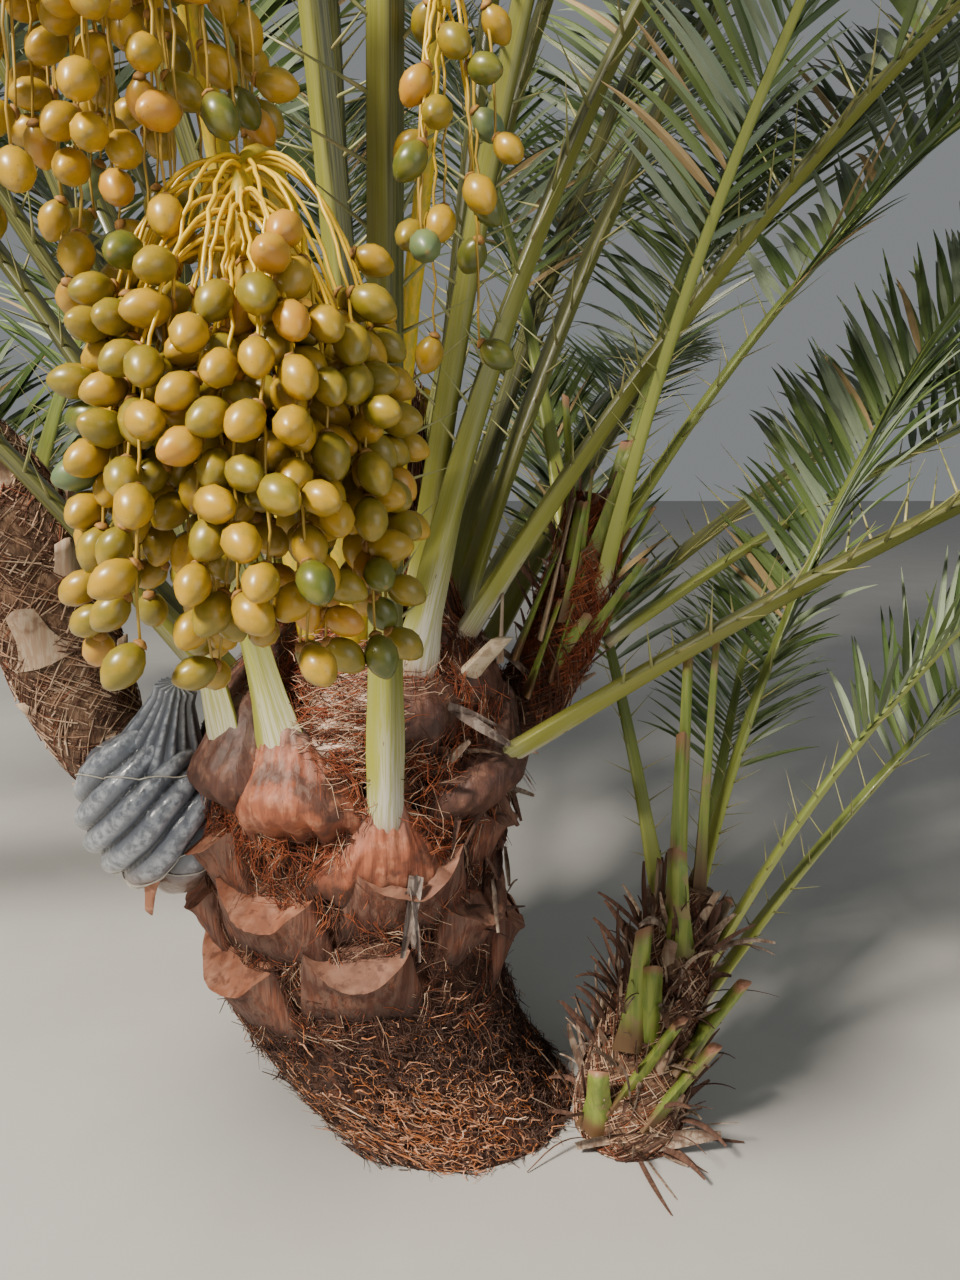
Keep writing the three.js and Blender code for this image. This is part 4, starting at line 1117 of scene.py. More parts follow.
# %% Loose fibre round the foot of the lowest frond on the right
FOOT_HAIRS, FOOT_LOCK = 420, 5
n = np.arange(FOOT_HAIRS)
azimuth = -28 + 34 * (chance(n, 11) + chance(n, 12) - 1)
z = 0.660 + 0.10 * swing(n, 14)
out = 0.004 + 0.040 * chance(n, 13) ** 2
slant = 360 * chance(n // FOOT_LOCK, 16)
length = between(0.03, 0.09, n, 15)
thick = 0.0005 + 0.0006 * chance(n, 17)
fibres = creeping(azimuth, z, out, slant, length, thick, 0.06, 0.2 * length, 19, lock=FOOT_LOCK)
margins.add(fibres, kinds_of_hair(FOOT_HAIRS, 18, 0.45, 0.45), wrap=True)
margins.build("sheath_fibre", HAIR_FINISHES, ["trunk"], "bark")

# %% [markdown]
# Leaflets. They are stiff, folded along the middle like a gutter, and stand out from both sides
# of the rib at changing angles, more and more forwards towards the tip. A leaflet is a grid of
# three columns: two edges and a middle line that is sunk. Its width swells at once and tapers to
# a point. All leaflets of a frond are one array. They come in a few plain colours, dealt out by
# chance, because a joined piece this fine has no room for a pattern.

# %% Leaflets
VEE, FORWARD_FOOT, FORWARD_TIP = 26, 60, 27  # degrees out of the rib's plane, and forwards
LEAFLET_ROWS = 8


def in_pairs(count):
    """For each of a row of pairs: its share of the way, the side that it is on, and its number."""
    i, sign = np.repeat(np.arange(count), 2), np.tile([1, -1], count)
    return i / (count - 1), sign, 2 * i + (sign < 0)


def outwards_from(along, side, up, sign, forward, lift):
    """Directions that leave a rib at an angle forward from its tangent, on the side of the sign,
    lifted out of its plane by another angle. Both angles are in radians."""
    out = side * sign[:, None] * np.cos(lift) + up * np.sin(lift)
    return along * np.cos(forward) + out * np.sin(forward)


def leaflet_arrays(f):
    """Roots, directions and lengths by the solids' rule: length = leaflet * lerp(0.35, 1, swell),
    swell = sin(pi (0.22 + 0.62 u)), and the angle from the rib goes from 60 to 27 degrees."""
    u, sign, index = in_pairs(f["pairs"])
    seed = f["seed"]
    t = lerp(LEAFLETS_FROM, 0.997, u**0.92) + 0.002 * swing(index, seed + 7)
    at, along, side, up = frond_line(f, t)
    width, thick = rib_size(f, t)
    swell = np.sin(np.pi * (0.22 + 0.62 * u))
    length = f["leaflet"] * lerp(0.35, 1, swell) * (0.90 + 0.16 * chance(index, seed))
    forward = lerp(FORWARD_FOOT, FORWARD_TIP, u**0.8) + 10 * swing(index, seed + 0.2)
    lift = VEE + 34 * swing(index, seed + 0.5)
    lift, forward = np.radians(lift)[:, None], np.radians(forward)[:, None]
    way = outwards_from(along, side, up, sign, forward, lift)
    root = at + side * (sign * width * 0.36)[:, None] + up * (thick * 0.12)[:, None]
    return root, way, along, length, index


def leaflets(surfaces, f, dry):
    """Width = full * (0.30 + 0.70 smooth(s)) * (1 - s^2.4) for shares s from root to tip. The
    middle column is sunk by a quarter of the width, and all three sag by s^2.6 of the length."""
    root, way, along, length, index = leaflet_arrays(f)
    seed = f["seed"]
    s = evenly(LEAFLET_ROWS)
    full = f["leaflet"] * 0.048
    width = full * (0.30 + 0.70 * smooth(0, 0.22, s)) * (1 - s**2.4) + 0.0008
    flat = unit(along - way * (along * way).sum(-1, keepdims=True))
    flat = unit(flat + 0.5 * swing(index, seed + 3)[:, None] * np.cross(way, flat))
    normal = np.cross(way, flat)
    sag = between(0.03, 0.20, index, seed + 4)[:, None, None]
    step = (length[:, None] * s)[..., None]
    middle = root[:, None] + way[:, None] * step - np.array([0, 0, 1]) * sag * step * s[None, :, None] ** 1.6
    half = (width / 2)[None, :, None] * flat[:, None]
    fold = (width * 0.26)[None, :, None] * normal[:, None]
    grid = np.stack([middle - half, middle - fold, middle + half], 2)
    tone = chance(index // 6, seed + 9) * 0.5 + chance(index, seed + 10) * 0.5
    slot = np.select([tone < 0.36, tone < 0.55, tone < 0.94], [0, 1, 2], 3)
    slot = np.where(chance(index, seed + 11) < dry, 3, slot)
    surfaces.add(above_ground(grid), slot)


# %% Spines


def spines(surfaces, f):
    """Long thin spines in place of leaflets on the upper stalk, shorter towards the foot."""
    u, sign, index = in_pairs(f["spines"])
    seed = f["seed"]
    t = lerp(0.10, LEAFLETS_FROM + 0.02, u) + 0.006 * swing(index, seed + 21)
    at, along, side, up = frond_line(f, t)
    width, _ = rib_size(f, t)
    turned = np.radians(between(48, 75, index, seed + 22))[:, None]
    lift = np.radians(between(-10, 60, index, seed + 23))[:, None]
    way = outwards_from(along, side, up, sign, turned, lift)
    length = f["leaflet"] * lerp(0.14, 0.40, u) * (0.8 + 0.4 * chance(index, seed + 24))
    s = evenly(5)[None, :, None]
    path = (at + side * (sign * width * 0.44)[:, None])[:, None] + way[:, None] * length[:, None, None] * s
    radius = 0.0030 * f["girth"] * (1 - evenly(5) ** 0.8 * 0.93)
    surfaces.add(above_ground(tubes(path, radius, 5, (0.37, 0.21, 0.9))), 0, wrap=True, caps="az")


# %% The leaflets and spines of all fronds


def leaf_finish(name, colour, tint, roughness=0.36):
    leaf = Finish(name, colour, roughness, Coat_Weight=0.06, Coat_Roughness=0.3)
    leaf.over("blotches", tint, 0.6, Scale=9, Low=0.35, High=0.65)
    return leaf


LEAVES = [
    leaf_finish("dark leaflet", (0.046, 0.078, 0.020), (0.072, 0.110, 0.032)),
    leaf_finish("grey leaflet", (0.190, 0.240, 0.150), (0.250, 0.300, 0.200), 0.42),
    leaf_finish("green leaflet", (0.110, 0.160, 0.046), (0.160, 0.215, 0.070)),
    leaf_finish("dry leaflet", (0.38, 0.27, 0.12), (0.28, 0.19, 0.09), 0.7),
]
spine_finish = Finish("spine", (0.24, 0.25, 0.09), 0.4)
spine_finish.over("blotches", (0.40, 0.34, 0.15), 0.7, Scale=30, Low=0.45, High=0.6)
for group, fronds in GROUPS_OF_FRONDS.items():
    blades, thorns = Surfaces(), Surfaces()
    for f in fronds:
        leaflets(blades, f, 0.03)
        spines(thorns, f)
    replaced = [f["node"] for f in fronds]
    blades.build(f"{group}_leaflets", LEAVES, replaced, "leaf", smoothed=False)
    thorns.build(f"{group}_spines", [spine_finish], replaced, "leaf")

# %% [markdown]
# The fruit. Each bunch hangs from a stalk that arches out of the crown. Near its end the stalk
# sends out strands, which rise a little and then fall under their load, with a few dates each.
# The stalk is a smooth curve through a few points, and the strands follow the solids' rule, with
# several times as many of them. The dates of all bunches are then pushed apart a little at a
# time, each staying at its own distance from the strand that it hangs on, until they only touch.

# %% A smooth curve through points


def smooth_curve(points, count):
    """A centripetal Catmull-Rom curve: between two points it is a cubic whose slopes there
    weigh the neighbouring chords by the square root of their length. Evenly spaced points."""
    p = np.asarray(points, float)
    p = np.vstack([2 * p[0] - p[1], p, 2 * p[-1] - p[-2]])
    gap = np.sqrt(np.linalg.norm(np.diff(p[:, :3], axis=0), axis=1))[:, None]
    slopes = np.diff(p, axis=0) / gap
    across = (p[2:] - p[:-2]) / (gap[1:] + gap[:-1])
    knots = slopes[:-1] - across + slopes[1:]
    s = np.linspace(0, 1, 40, endpoint=False)[None, :, None]
    a, b = p[1:-2, None], p[2:-1, None]
    m0, m1 = knots[:-1, None] * gap[1:-1, None], knots[1:, None] * gap[1:-1, None]
    fine = (
        (2 * s**3 - 3 * s**2 + 1) * a
        + (s**3 - 2 * s**2 + s) * m0
        + (3 * s**2 - 2 * s**3) * b
        + (s**3 - s**2) * m1
    )
    fine = np.vstack([fine.reshape(-1, p.shape[1]), p[-2:-1]])
    length = np.concatenate([[0], np.cumsum(np.linalg.norm(np.diff(fine[:, :3], axis=0), axis=1))])
    even = np.linspace(0, length[-1], count)
    return np.stack([np.interp(even, length, column) for column in fine.T], -1), length[-1]


# %% The four bunches
BUNCHES = {
    "front_low": {
        "stalk": [(-0.140, -0.130, 0.800), (-0.142, -0.300, 1.090), (-0.150, -0.480, 1.320),
                  (-0.156, -0.600, 1.390), (-0.160, -0.690, 1.360), (-0.162, -0.722, 1.280)],
        "radius": (0.024, 0.009), "rachis": 0.110, "strands": 60, "reach": 0.132,
        "fall": (0.260, 0.385), "fruit_from": 0.47, "dates": (5, 6), "seed": 11,
        "tones": (0.52, 0.90, 0.96, 1.06, 1.08),
    },
    "front_high": {
        "stalk": [(-0.205, -0.110, 0.820), (-0.242, -0.270, 1.210), (-0.266, -0.430, 1.560),
                  (-0.282, -0.550, 1.750), (-0.292, -0.640, 1.765), (-0.297, -0.688, 1.670)],
        "radius": (0.024, 0.009), "rachis": 0.180, "strands": 46, "reach": 0.138,
        "fall": (0.262, 0.424), "fruit_from": 0.26, "dates": (3, 5), "seed": 23,
        "tones": (0.28, 0.80, 0.92, 0.97, 1.08),
    },
    "front_right": {
        "stalk": [(-0.092, -0.125, 0.830), (-0.060, -0.250, 1.170), (-0.010, -0.400, 1.500),
                  (0.004, -0.490, 1.640), (0.012, -0.560, 1.620), (0.015, -0.582, 1.540)],
        "radius": (0.018, 0.007), "rachis": 0.100, "strands": 9, "reach": 0.060,
        "fall": (0.150, 0.330), "fruit_from": 0.50, "dates": (1, 3), "seed": 37,
        "tones": (0.34, 0.58, 0.60, 0.78, 1.2),
    },
    "back": {
        "stalk": [(-0.146, 0.150, 0.800), (-0.142, 0.330, 1.100), (-0.142, 0.520, 1.340),
                  (-0.146, 0.650, 1.410), (-0.150, 0.715, 1.350), (-0.152, 0.730, 1.260)],
        "radius": (0.024, 0.009), "rachis": 0.130, "strands": 44, "reach": 0.120,
        "fall": (0.240, 0.400), "fruit_from": 0.38, "dates": (3, 5), "seed": 41,
        "tones": (0.42, 0.90, 0.98, 1.06, 1.08),
    },
}
DATE_LENGTH, DATE_RADIUS = 0.0435, 0.0158


# %% Strands


def strand_points(b, j, t):
    """Point t of the way down strand j: out by sin(90 t), up a little by sin(180 t), and down
    by fall * t^1.5, from a root on the last stretch of the stalk."""
    curve, length = smooth_curve(b["stalk"], 200)
    root_share = 1 - b["rachis"] / length * (1 - (j + 0.5) / b["strands"])
    even = evenly(200)
    root = np.stack([np.interp(root_share, even, column) for column in curve.T], -1)
    azimuth = GOLDEN_ANGLE * j
    reach = b["reach"] * np.sqrt(between(0.12, 1, j, b["seed"]))
    fall = lerp(*b["fall"], chance(j, b["seed"] + 1))
    kink = 0.0022 * np.sin(t * 55 + 6 * chance(j, b["seed"] + 2)) * smooth(0.1, 0.5, t)
    point = root + heading(azimuth, 0) * (reach * np.sin(t * np.pi / 2))[..., None]
    point = point + heading(azimuth + 90, 0) * kink[..., None]
    point[..., 2] += 0.35 * reach * np.sin(t * np.pi) - fall * t**1.5
    return point


# %% Hanging the dates


def push_apart(hooks, centres, rounds=90):
    """Moves overlapping dates apart by half their overlap, then puts each back at half its
    length from its hook, round after round."""
    for _ in range(rounds):
        gap = centres[:, None] - centres[None]
        distance = np.linalg.norm(gap, axis=-1) + np.eye(len(centres))
        overlap = np.clip(DATE_RADIUS * 2.06 - distance, 0, None) * (1 - np.eye(len(centres)))
        centres = centres + (gap / distance[..., None] * overlap[..., None] * 0.45).sum(1)
        centres = hooks + unit(centres - hooks) * (DATE_LENGTH * 0.52)
    return centres


hooks, centres, tones, owners = [], [], [], []
for number, (name, b) in enumerate(BUNCHES.items()):
    j, seed = np.arange(b["strands"]), b["seed"]
    low, high = b["dates"]
    count = low + np.floor((high - low + 1) * chance(j, seed + 5)).astype(int)
    strand, on_strand = np.repeat(j, count), np.repeat(count, count)
    place = np.concatenate([np.arange(c) for c in count])
    share = place / np.maximum(on_strand - 1, 1)
    t = lerp(b["fruit_from"] + 0.2 * chance(strand, seed + 6), 1, share)
    t = np.where(on_strand == 1, 1, t)
    hook = strand_points(b, strand, t)
    order = np.arange(len(strand))
    turned = GOLDEN_ANGLE * strand + 150 * swing(order, seed + 13)
    side = heading(turned, -15 - 50 * chance(order, seed + 7))
    hooks.append(hook)
    centres.append(hook + side * DATE_LENGTH * 0.52)
    tones.append((chance(strand, seed + 8) + chance(order, seed + 9)) / 2)
    owners.append(np.full(len(strand), number))
hooks, owners, tones = np.concatenate(hooks), np.concatenate(owners), np.concatenate(tones)
centres = push_apart(hooks, np.concatenate(centres))
print("dates:", len(hooks))

# %% [markdown]
# The skin of a date is smooth and waxy, so it has a thin coat. Dates ripen from green through
# olive and gold to orange, and darken at the tip. A date gets its colour by the mean of two
# chances, its strand's and its own, so neighbours look alike but not the same.

# %% Finishes of the fruit


def date_finish(name, colour, tint, roughness=0.34):
    """Waxy skin: a second tint in patches, a few brown scars, and a dark mark at the tip."""
    skin = Finish(name, colour, roughness, Coat_Weight=0.2, Coat_Roughness=0.2)
    skin.over("blotches", tint, 0.75, Scale=38, Low=0.4, High=0.66)
    skin.layer((0.15, 0.125, 0.012), skin.step(skin.flow("Y"), 0.62, 0.0), 0.5)
    skin.over("specks", (0.26, 0.14, 0.035), 0.7, Scale=210, Size=0.16, Rare=0.72)
    skin.layer((0.28, 0.17, 0.03), skin.step(skin.flow("Y"), 0.97, 1.0), 0.5)
    return skin


DATES = [
    date_finish("olive date", (0.205, 0.160, 0.012), (0.37, 0.240, 0.014)),
    date_finish("golden date", (0.46, 0.265, 0.011), (0.27, 0.190, 0.013)),
    date_finish("orange date", (0.50, 0.225, 0.018), (0.50, 0.300, 0.024)),
    date_finish("green date", (0.085, 0.105, 0.014), (0.18, 0.165, 0.018)),
    date_finish("grey green date", (0.105, 0.160, 0.070), (0.16, 0.20, 0.060), 0.42),
    date_finish("blushed date", (0.36, 0.060, 0.020), (0.44, 0.20, 0.012)),
]
calyx_finish = Finish("calyx", (0.34, 0.17, 0.030), 0.7)
calyx_finish.over("blotches", (0.18, 0.08, 0.02), 0.7, Scale=150)
strand_finish = Finish("fruit strand", (0.72, 0.47, 0.012), 0.38, Coat_Weight=0.1)
strand_finish.over("blotches", (0.58, 0.34, 0.010), 0.6, Scale=45)
strand_finish.layer((0.30, 0.19, 0.03), strand_finish.step(strand_finish.flow("Y"), 0.55, 0.85), 0.8)
bunch_stalk = Finish("fruit stalk", (0.60, 0.40, 0.014), 0.42)
bunch_stalk.over("fibres", (0.30, 0.30, 0.03), 0.6, Across=160, Along=14)
FRUIT_STALKS = [bunch_stalk, strand_finish]
print("finishes of dates:", len(DATES))

# %% Shapes of a date and its cap
DATE_ROWS, DATE_SIDES = 8, 10


def date_bodies(hook, centre, size):
    """Egg shapes along hook to centre: radius = R sin(pi s)^0.58 (1.04 - 0.08 s)."""
    axis = unit(centre - hook)
    side = unit(np.cross(axis, (0.31, 0.17, 0.93)))
    other = np.cross(axis, side)
    s = np.array([0.012, 0.08, 0.22, 0.40, 0.60, 0.78, 0.92, 0.988])
    radius = DATE_RADIUS * np.sin(np.pi * s) ** 0.58 * (1.04 - 0.08 * s)
    turn = turns(DATE_SIDES)
    ring = side[:, None] * np.cos(turn)[:, None] + other[:, None] * np.sin(turn)[:, None]
    middle = centre[:, None] + axis[:, None] * ((s - 0.5) * DATE_LENGTH)[:, None] * size[:, None, None]
    return middle[:, :, None] + ring[:, None] * (radius[:, None] * size[:, None, None])[..., None]


def calyxes(hook, centre, size):
    """A little stepped cap on the end by the hook."""
    axis = unit(centre - hook)
    start = centre - axis * (DATE_LENGTH * 0.5 * size)[:, None]
    steps = np.array([-0.0035, -0.0010, 0.0016, 0.0024])
    path = start[:, None] + axis[:, None] * steps[:, None]
    return tubes(path, np.array([0.0022, 0.0058, 0.0072, 0.0030]), 6)


# %% Dates, strands and stalks of the four bunches
STALK_ROWS, STRAND_ROWS = 48, 22
for number, (name, b) in enumerate(BUNCHES.items()):
    mine = owners == number
    order = np.arange(mine.sum())
    size = 0.93 + 0.14 * chance(order, b["seed"] + 12)
    slot = np.searchsorted(b["tones"], (tones[mine] - 0.5) * 1.25 + 0.5)
    fruit = Surfaces()
    shapes = date_bodies(hooks[mine], centres[mine], size)
    flow = flow_of(evenly(DATE_SIDES), evenly(DATE_ROWS)[:, None])
    fruit.add(shapes, slot, wrap=True, caps="az", flow=flow)
    fruit.add(calyxes(hooks[mine], centres[mine], size), len(DATES), wrap=True, caps="az")
    node = f"fruit_bunch_{name}"
    fruit.build(f"{name}_dates", [*DATES, calyx_finish], [node], "fruit")
    line, _ = smooth_curve(b["stalk"], STALK_ROWS)
    stalk = Surfaces()
    knobs = 1 + 0.05 * np.sin(np.arange(STALK_ROWS) * 1.3)
    girth = np.linspace(*b["radius"], STALK_ROWS) * knobs
    stalk.add(tubes(line[None], girth, 14, (1, 0, 0)), 0, wrap=True, caps="az")
    j, t = np.meshgrid(np.arange(b["strands"]), evenly(STRAND_ROWS), indexing="ij")
    threads = strand_points(b, j, t)
    across = heading(GOLDEN_ANGLE * np.arange(b["strands"]) + 90, 0)[:, None]
    thin = np.linspace(0.0024, 0.0013, STRAND_ROWS)
    stalk.add(tubes(threads, thin, 6, across), 1, wrap=True, caps="z")
    stalk.build(f"{name}_strands", FRUIT_STALKS, [node], "fruit")

# %% [markdown]
# The offshoots' stems. A young palm's stem is wrapped in brown matting, with the cut stubs of its
# first leaves standing out of it. The stem is a tube along a smooth curve with rough relief. The
# matting is made of fibres that run round and up the stem in both slants, which is how the real
# cloth-like sheath is woven. Each fibre's path is a straight line in azimuth and height.

# %% Places on a stem


def stem_frames(stem, count):
    """Even points along a stem with their radius, and the frames square to the line."""
    fine, _ = smooth_curve(stem, count)
    along, side, other = path_frames(fine[None, :, :3], (0, 1, 0.05))
    return fine[:, :3], fine[:, 3], along[0], side[0], other[0]


def on_stem(frames, share, turn, out):
    """The point at a share of the stem's length and a turn round it, some way out of it."""
    line, radius, _, side, other = frames
    even = np.linspace(0, 1, len(line))
    r = np.interp(share, even, radius) + out

    def pick(values):
        return np.stack([np.interp(share, even, column) for column in values.T], -1)

    ring = pick(side) * np.cos(turn)[..., None] + pick(other) * np.sin(turn)[..., None]
    return pick(line) + ring * r[..., None]


# %% Matting


def matting(frames, count, seed, radius, reach, loose):
    """Fibres that hug a stem, from one share and turn to another, some of them loose of it."""
    n = np.arange(count)[:, None]
    s = evenly(5)
    length = 1.0 / np.linalg.norm(np.diff(frames[0], axis=0), axis=1).sum()
    slant = np.where(chance(n, seed) < 0.5, 1, -1) * between(0.5, 1.4, n, seed + 1)
    start, turn = chance(n, seed + 2), 2 * np.pi * chance(n, seed + 3)
    share = start + reach * length * between(0.4, 1, n, seed + 4) * (s - 0.5)
    out = 0.0008 + 0.006 * chance(n, seed + 5) ** 3 + 0.012 * (s - 0.5) ** 2 * chance(n, seed + 6)
    out = out + loose * chance(n, seed + 8) ** 2
    path = on_stem(frames, np.clip(share, 0, 1), turn + slant * (s - 0.5), out)
    thick = radius * (0.6 + chance(n, seed + 7)) * (1.1 - s)
    return tubes(above_ground(path, 0.004), thick, 3, (0.3, 0.2, 0.9))


# %% [markdown]
# Strips and stubs. Where a leaf was cut off, its foot stays as a stub: a frond's own outline,
# wide at the foot, that ends in a pale cut. Where a sheath dried up, it tears into strips that
# curl. A strip is a grid of three columns along a line that sags, turned little by little round
# that line, and folded along its middle as a leaflet is.

# %% Dry strips


def strips(start, way, length, width, sag, seed, rows=8):
    """Dry shreds of sheath: blades along way that sag by s^2 and curl round their own line."""
    n = np.arange(len(start))
    s = evenly(rows)
    step = np.asarray(length)[:, None] * s
    sway = heading(360 * chance(n, seed), 0)[:, None] * (0.22 * chance(n, seed + 1))[:, None, None]
    middle = start[:, None] + way[:, None] * step[..., None] + sway * (step * s)[..., None]
    middle = middle - np.array([0, 0, 1]) * (np.asarray(sag)[:, None] * step * s)[..., None]
    along, side, other = path_frames(middle, (0.37, 0.19, 0.90))
    curl = (6.28 * chance(n, seed + 2)[:, None] + 2.2 * (chance(n, seed + 3)[:, None] - 0.5) * s)[..., None]
    flat = side * np.cos(curl) + other * np.sin(curl)
    half = np.asarray(width)[:, None, None] / 2 * (0.35 + 0.65 * np.sin(np.pi * (0.25 + 0.72 * s)))[:, None]
    fold = np.cross(along, flat) * half * 0.7
    return above_ground(np.stack([middle - flat * half, middle - fold, middle + flat * half], 2), 0.003)


# %% Cut stubs


def stubs(surfaces, start, way, flat, length, width, thick, body, face):
    """Cut leaf feet: a keeled outline that tapers from 1.9 to 0.8 of its width up to a cut."""
    x, y = section()
    s = np.array([0, 0.08, 0.18, 0.32, 0.55, 0.8, 1.0])
    share = np.interp(s, [0, 0.18, 0.45, 1], [1.9, 1.45, 1.0, 0.8])[:, None, None]
    up = np.cross(way, flat)
    slant = y * s[:, None] ** 4 * -0.9
    size = np.asarray(width)[:, None, None, None]
    deep = np.asarray(thick)[:, None, None, None]
    reach = (np.asarray(length)[:, None, None] * s[:, None] + deep[..., 0] * slant)[..., None]
    points = start[:, None, None] + way[:, None, None] * reach
    points = points + flat[:, None, None] * (x[:, None] * share) * size
    points = points + up[:, None, None] * (y[:, None] * share) * deep
    flow = flow_of(SECTION / (2 * np.pi), s[:, None])
    surfaces.add(above_ground(points, 0.001), body, wrap=True, caps="z", flow=flow, cap_slot=face)


def stem_stubs(surfaces, frames, count, first, last, seed, length, width, body, face, lean=0.42):
    """Stubs by the golden angle up a stem: each leans out from the stem's own direction."""
    n = np.arange(count)
    share = lerp(first, last, n / max(count - 1, 1))
    turn = np.radians(GOLDEN_ANGLE) * n + seed
    start = on_stem(frames, share, turn, np.full(count, -0.012))
    even = np.linspace(0, 1, len(frames[0]))
    along = np.stack([np.interp(share, even, c) for c in frames[2].T], -1)
    out = unit(on_stem(frames, share, turn, np.full(count, 0.01)) - start)
    way = unit(along + out * lean)
    flat = unit(np.cross(out, way))
    size = 0.8 + 0.5 * chance(n, seed + 1)
    stubs(surfaces, start, way, -flat, length * size, width * size, 0.4 * width * size, body, face)


# %% Finishes of the stems
matting_brown = Finish("brown matting", (0.15, 0.080, 0.045), 0.95)
matting_brown.over("fibres", (0.34, 0.21, 0.13), 0.6, Across=120, Along=40)
matting_brown.over("blotches", (0.05, 0.026, 0.016), 0.7, Scale=22)
matting_brown.bump("fibres", 0.8, 0.006, Across=130, Along=45)
stub_green = Finish("green stub", (0.16, 0.22, 0.035), 0.5)
stub_green.over("fibres", (0.30, 0.34, 0.06), 0.6, Across=110, Along=6)
stub_green.over("blotches", (0.30, 0.19, 0.10), 0.7, Scale=18, Low=0.52, High=0.62)
stub_green.layer((0.13, 0.055, 0.03), stub_green.step(stub_green.flow("Y"), 0.36, 0.10), 0.9)
stub_green.layer((0.44, 0.21, 0.13), stub_green.step(stub_green.flow("Y"), 0.90, 0.99), 0.8)
stub_tan = Finish("dry stub", (0.38, 0.25, 0.16), 0.8)
stub_tan.over("fibres", (0.52, 0.42, 0.31), 0.6, Across=170, Along=14)
stub_tan.over("blotches", (0.17, 0.085, 0.05), 0.7, Scale=20, Low=0.5, High=0.64)
cut_pink = Finish("stub cut", (0.50, 0.24, 0.15), 0.8)
cut_pink.over("blotches", (0.30, 0.12, 0.06), 0.7, Scale=70)
strip_dark = Finish("old strip", (0.085, 0.040, 0.026), 0.9)
strip_dark.over("fibres", (0.17, 0.085, 0.055), 0.6, Across=140, Along=14)
strip_finish = Finish("dry strip", (0.20, 0.125, 0.085), 0.8)
strip_finish.over("fibres", (0.46, 0.37, 0.28), 0.6, Across=140, Along=14)
strip_finish.over("blotches", (0.07, 0.035, 0.022), 0.7, Scale=24, Low=0.48, High=0.62)
STEM_FINISHES = [
    *HAIR_FINISHES, matting_brown, stub_green, stub_tan,
    cut_pink, strip_finish, strip_dark,
]
MATTED, GREEN_STUB, TAN_STUB, STUB_CUT, DRY_STRIP, OLD_STRIP = range(3, 9)
print("finishes of the stems:", len(STEM_FINISHES))

# %% [markdown]
# The three stems. The left one is short and thick in a brown mat. The upper one is slender, with
# long green stubs round its top. The lower one is hidden under dry strips and a fence of upright
# stubs. What chance deals out is given by a count, and what the picture shows plainly by a row.

# %% The surface of a stem


def stem_tube(surfaces, frames):
    """The plain stem under the matting: 90 rings of 48 points, 2 mm proud, with rough relief."""
    share, turn = np.meshgrid(evenly(90), turns(48), indexing="ij")
    points = on_stem(frames, share, turn, 0.002 + 0 * share)
    points = on_stem(frames, share, turn, 0.002 + 0.004 * rough(points, 110, 5))
    surfaces.add(above_ground(points, 0.0), MATTED, wrap=True, caps="az")


def matted_stem(name, count, seed, radius, reach, loose, red, brown):
    """The surfaces of a stem: its tube, wrapped in a count of fibres in shares of colour."""
    surfaces = Surfaces()
    stem_tube(surfaces, stems[name])
    fibres = matting(stems[name], count, seed, radius, reach, loose)
    surfaces.add(fibres, kinds_of_hair(count, seed + 7, red, brown), wrap=True)
    return surfaces


def columns_of(rows):
    return (np.array(column) for column in zip(*rows))


stems = {name: stem_frames(plan["stem"], 60) for name, plan in OFFSHOOTS.items()}
print("heights of the stems:", {name: round(float(f[0][-1, 2]), 2) for name, f in stems.items()})

# %% The left stem
left = matted_stem("left", 3600, 71, 0.0011, 0.10, 0.0, 0.05, 0.55)
stem_stubs(left, stems["left"], 17, 0.16, 0.9, 0.6, 0.075, 0.050, TAN_STUB, STUB_CUT)
root = np.array([(-0.472, -0.150, 0.470)])  # a cut root shows under the sack
stubs(left, root, heading([-110], [-78]), heading([-20], [0]), [0.055], [0.020], [0.018],
      STUB_CUT, STUB_CUT)
left.build("left_offshoot_stem_surface", STEM_FINISHES, ["left_offshoot_stem"], "bark")

# %% The upper stem
UPPER_BLADES = [  # foot, azimuth, elevation, length, width, kind
    ((0.105, -0.030, 0.800), 20, 66, 0.200, 0.026, GREEN_STUB),
    ((0.125, -0.050, 0.740), 26, 68, 0.170, 0.024, GREEN_STUB),
    ((0.082, -0.060, 0.800), 5, 88, 0.110, 0.020, TAN_STUB),
    ((0.165, -0.015, 0.760), 15, 72, 0.210, 0.026, GREEN_STUB),
    ((0.150, -0.020, 0.830), 20, 76, 0.240, 0.020, TAN_STUB),
    ((0.190, -0.008, 0.860), -20, 80, 0.200, 0.022, GREEN_STUB),
    ((0.215, 0.000, 0.920), -10, 84, 0.190, 0.018, GREEN_STUB),
]
UPPER_HAIRS = 4200
# Red where a fibre starts high on the stem, brown lower down: chance(n, 83) is the share where matting
# starts it. The brown is partly the stem's own colour and partly painted shade where the stem leaves the
# trunk.
red = lerp(0.10, 0.88, smooth(0.34, 0.52, chance(np.arange(UPPER_HAIRS), 83)))
upper = matted_stem("upper", UPPER_HAIRS, 81, 0.0009, 0.09, 0.016, red, 0.95 - red)
stem_stubs(upper, stems["upper"], 13, 0.30, 0.90, 2.2, 0.20, 0.026, GREEN_STUB, STUB_CUT, 0.24)
stem_stubs(upper, stems["upper"], 8, 0.34, 0.80, 0.9, 0.12, 0.030, TAN_STUB, STUB_CUT, 0.16)
foot, turned, raised, long, wide, kind = columns_of(UPPER_BLADES)
way, flat = heading(turned, raised), heading(turned + 75, 0)
stubs(upper, foot, way, flat, long, wide, 0.35 * wide, kind, STUB_CUT)
n = np.arange(60)
share = between(0.30, 0.95, n, 131)
start = on_stem(stems["upper"], share, 6.28 * chance(n, 132), 0.002 + 0 * n)
way = heading(360 * chance(n, 133), between(30, 88, n, 134))
length, width = between(0.05, 0.15, n, 135), between(0.004, 0.014, n, 136)
blades = strips(start, way, length, width, 0.3 * chance(n, 137), 138)
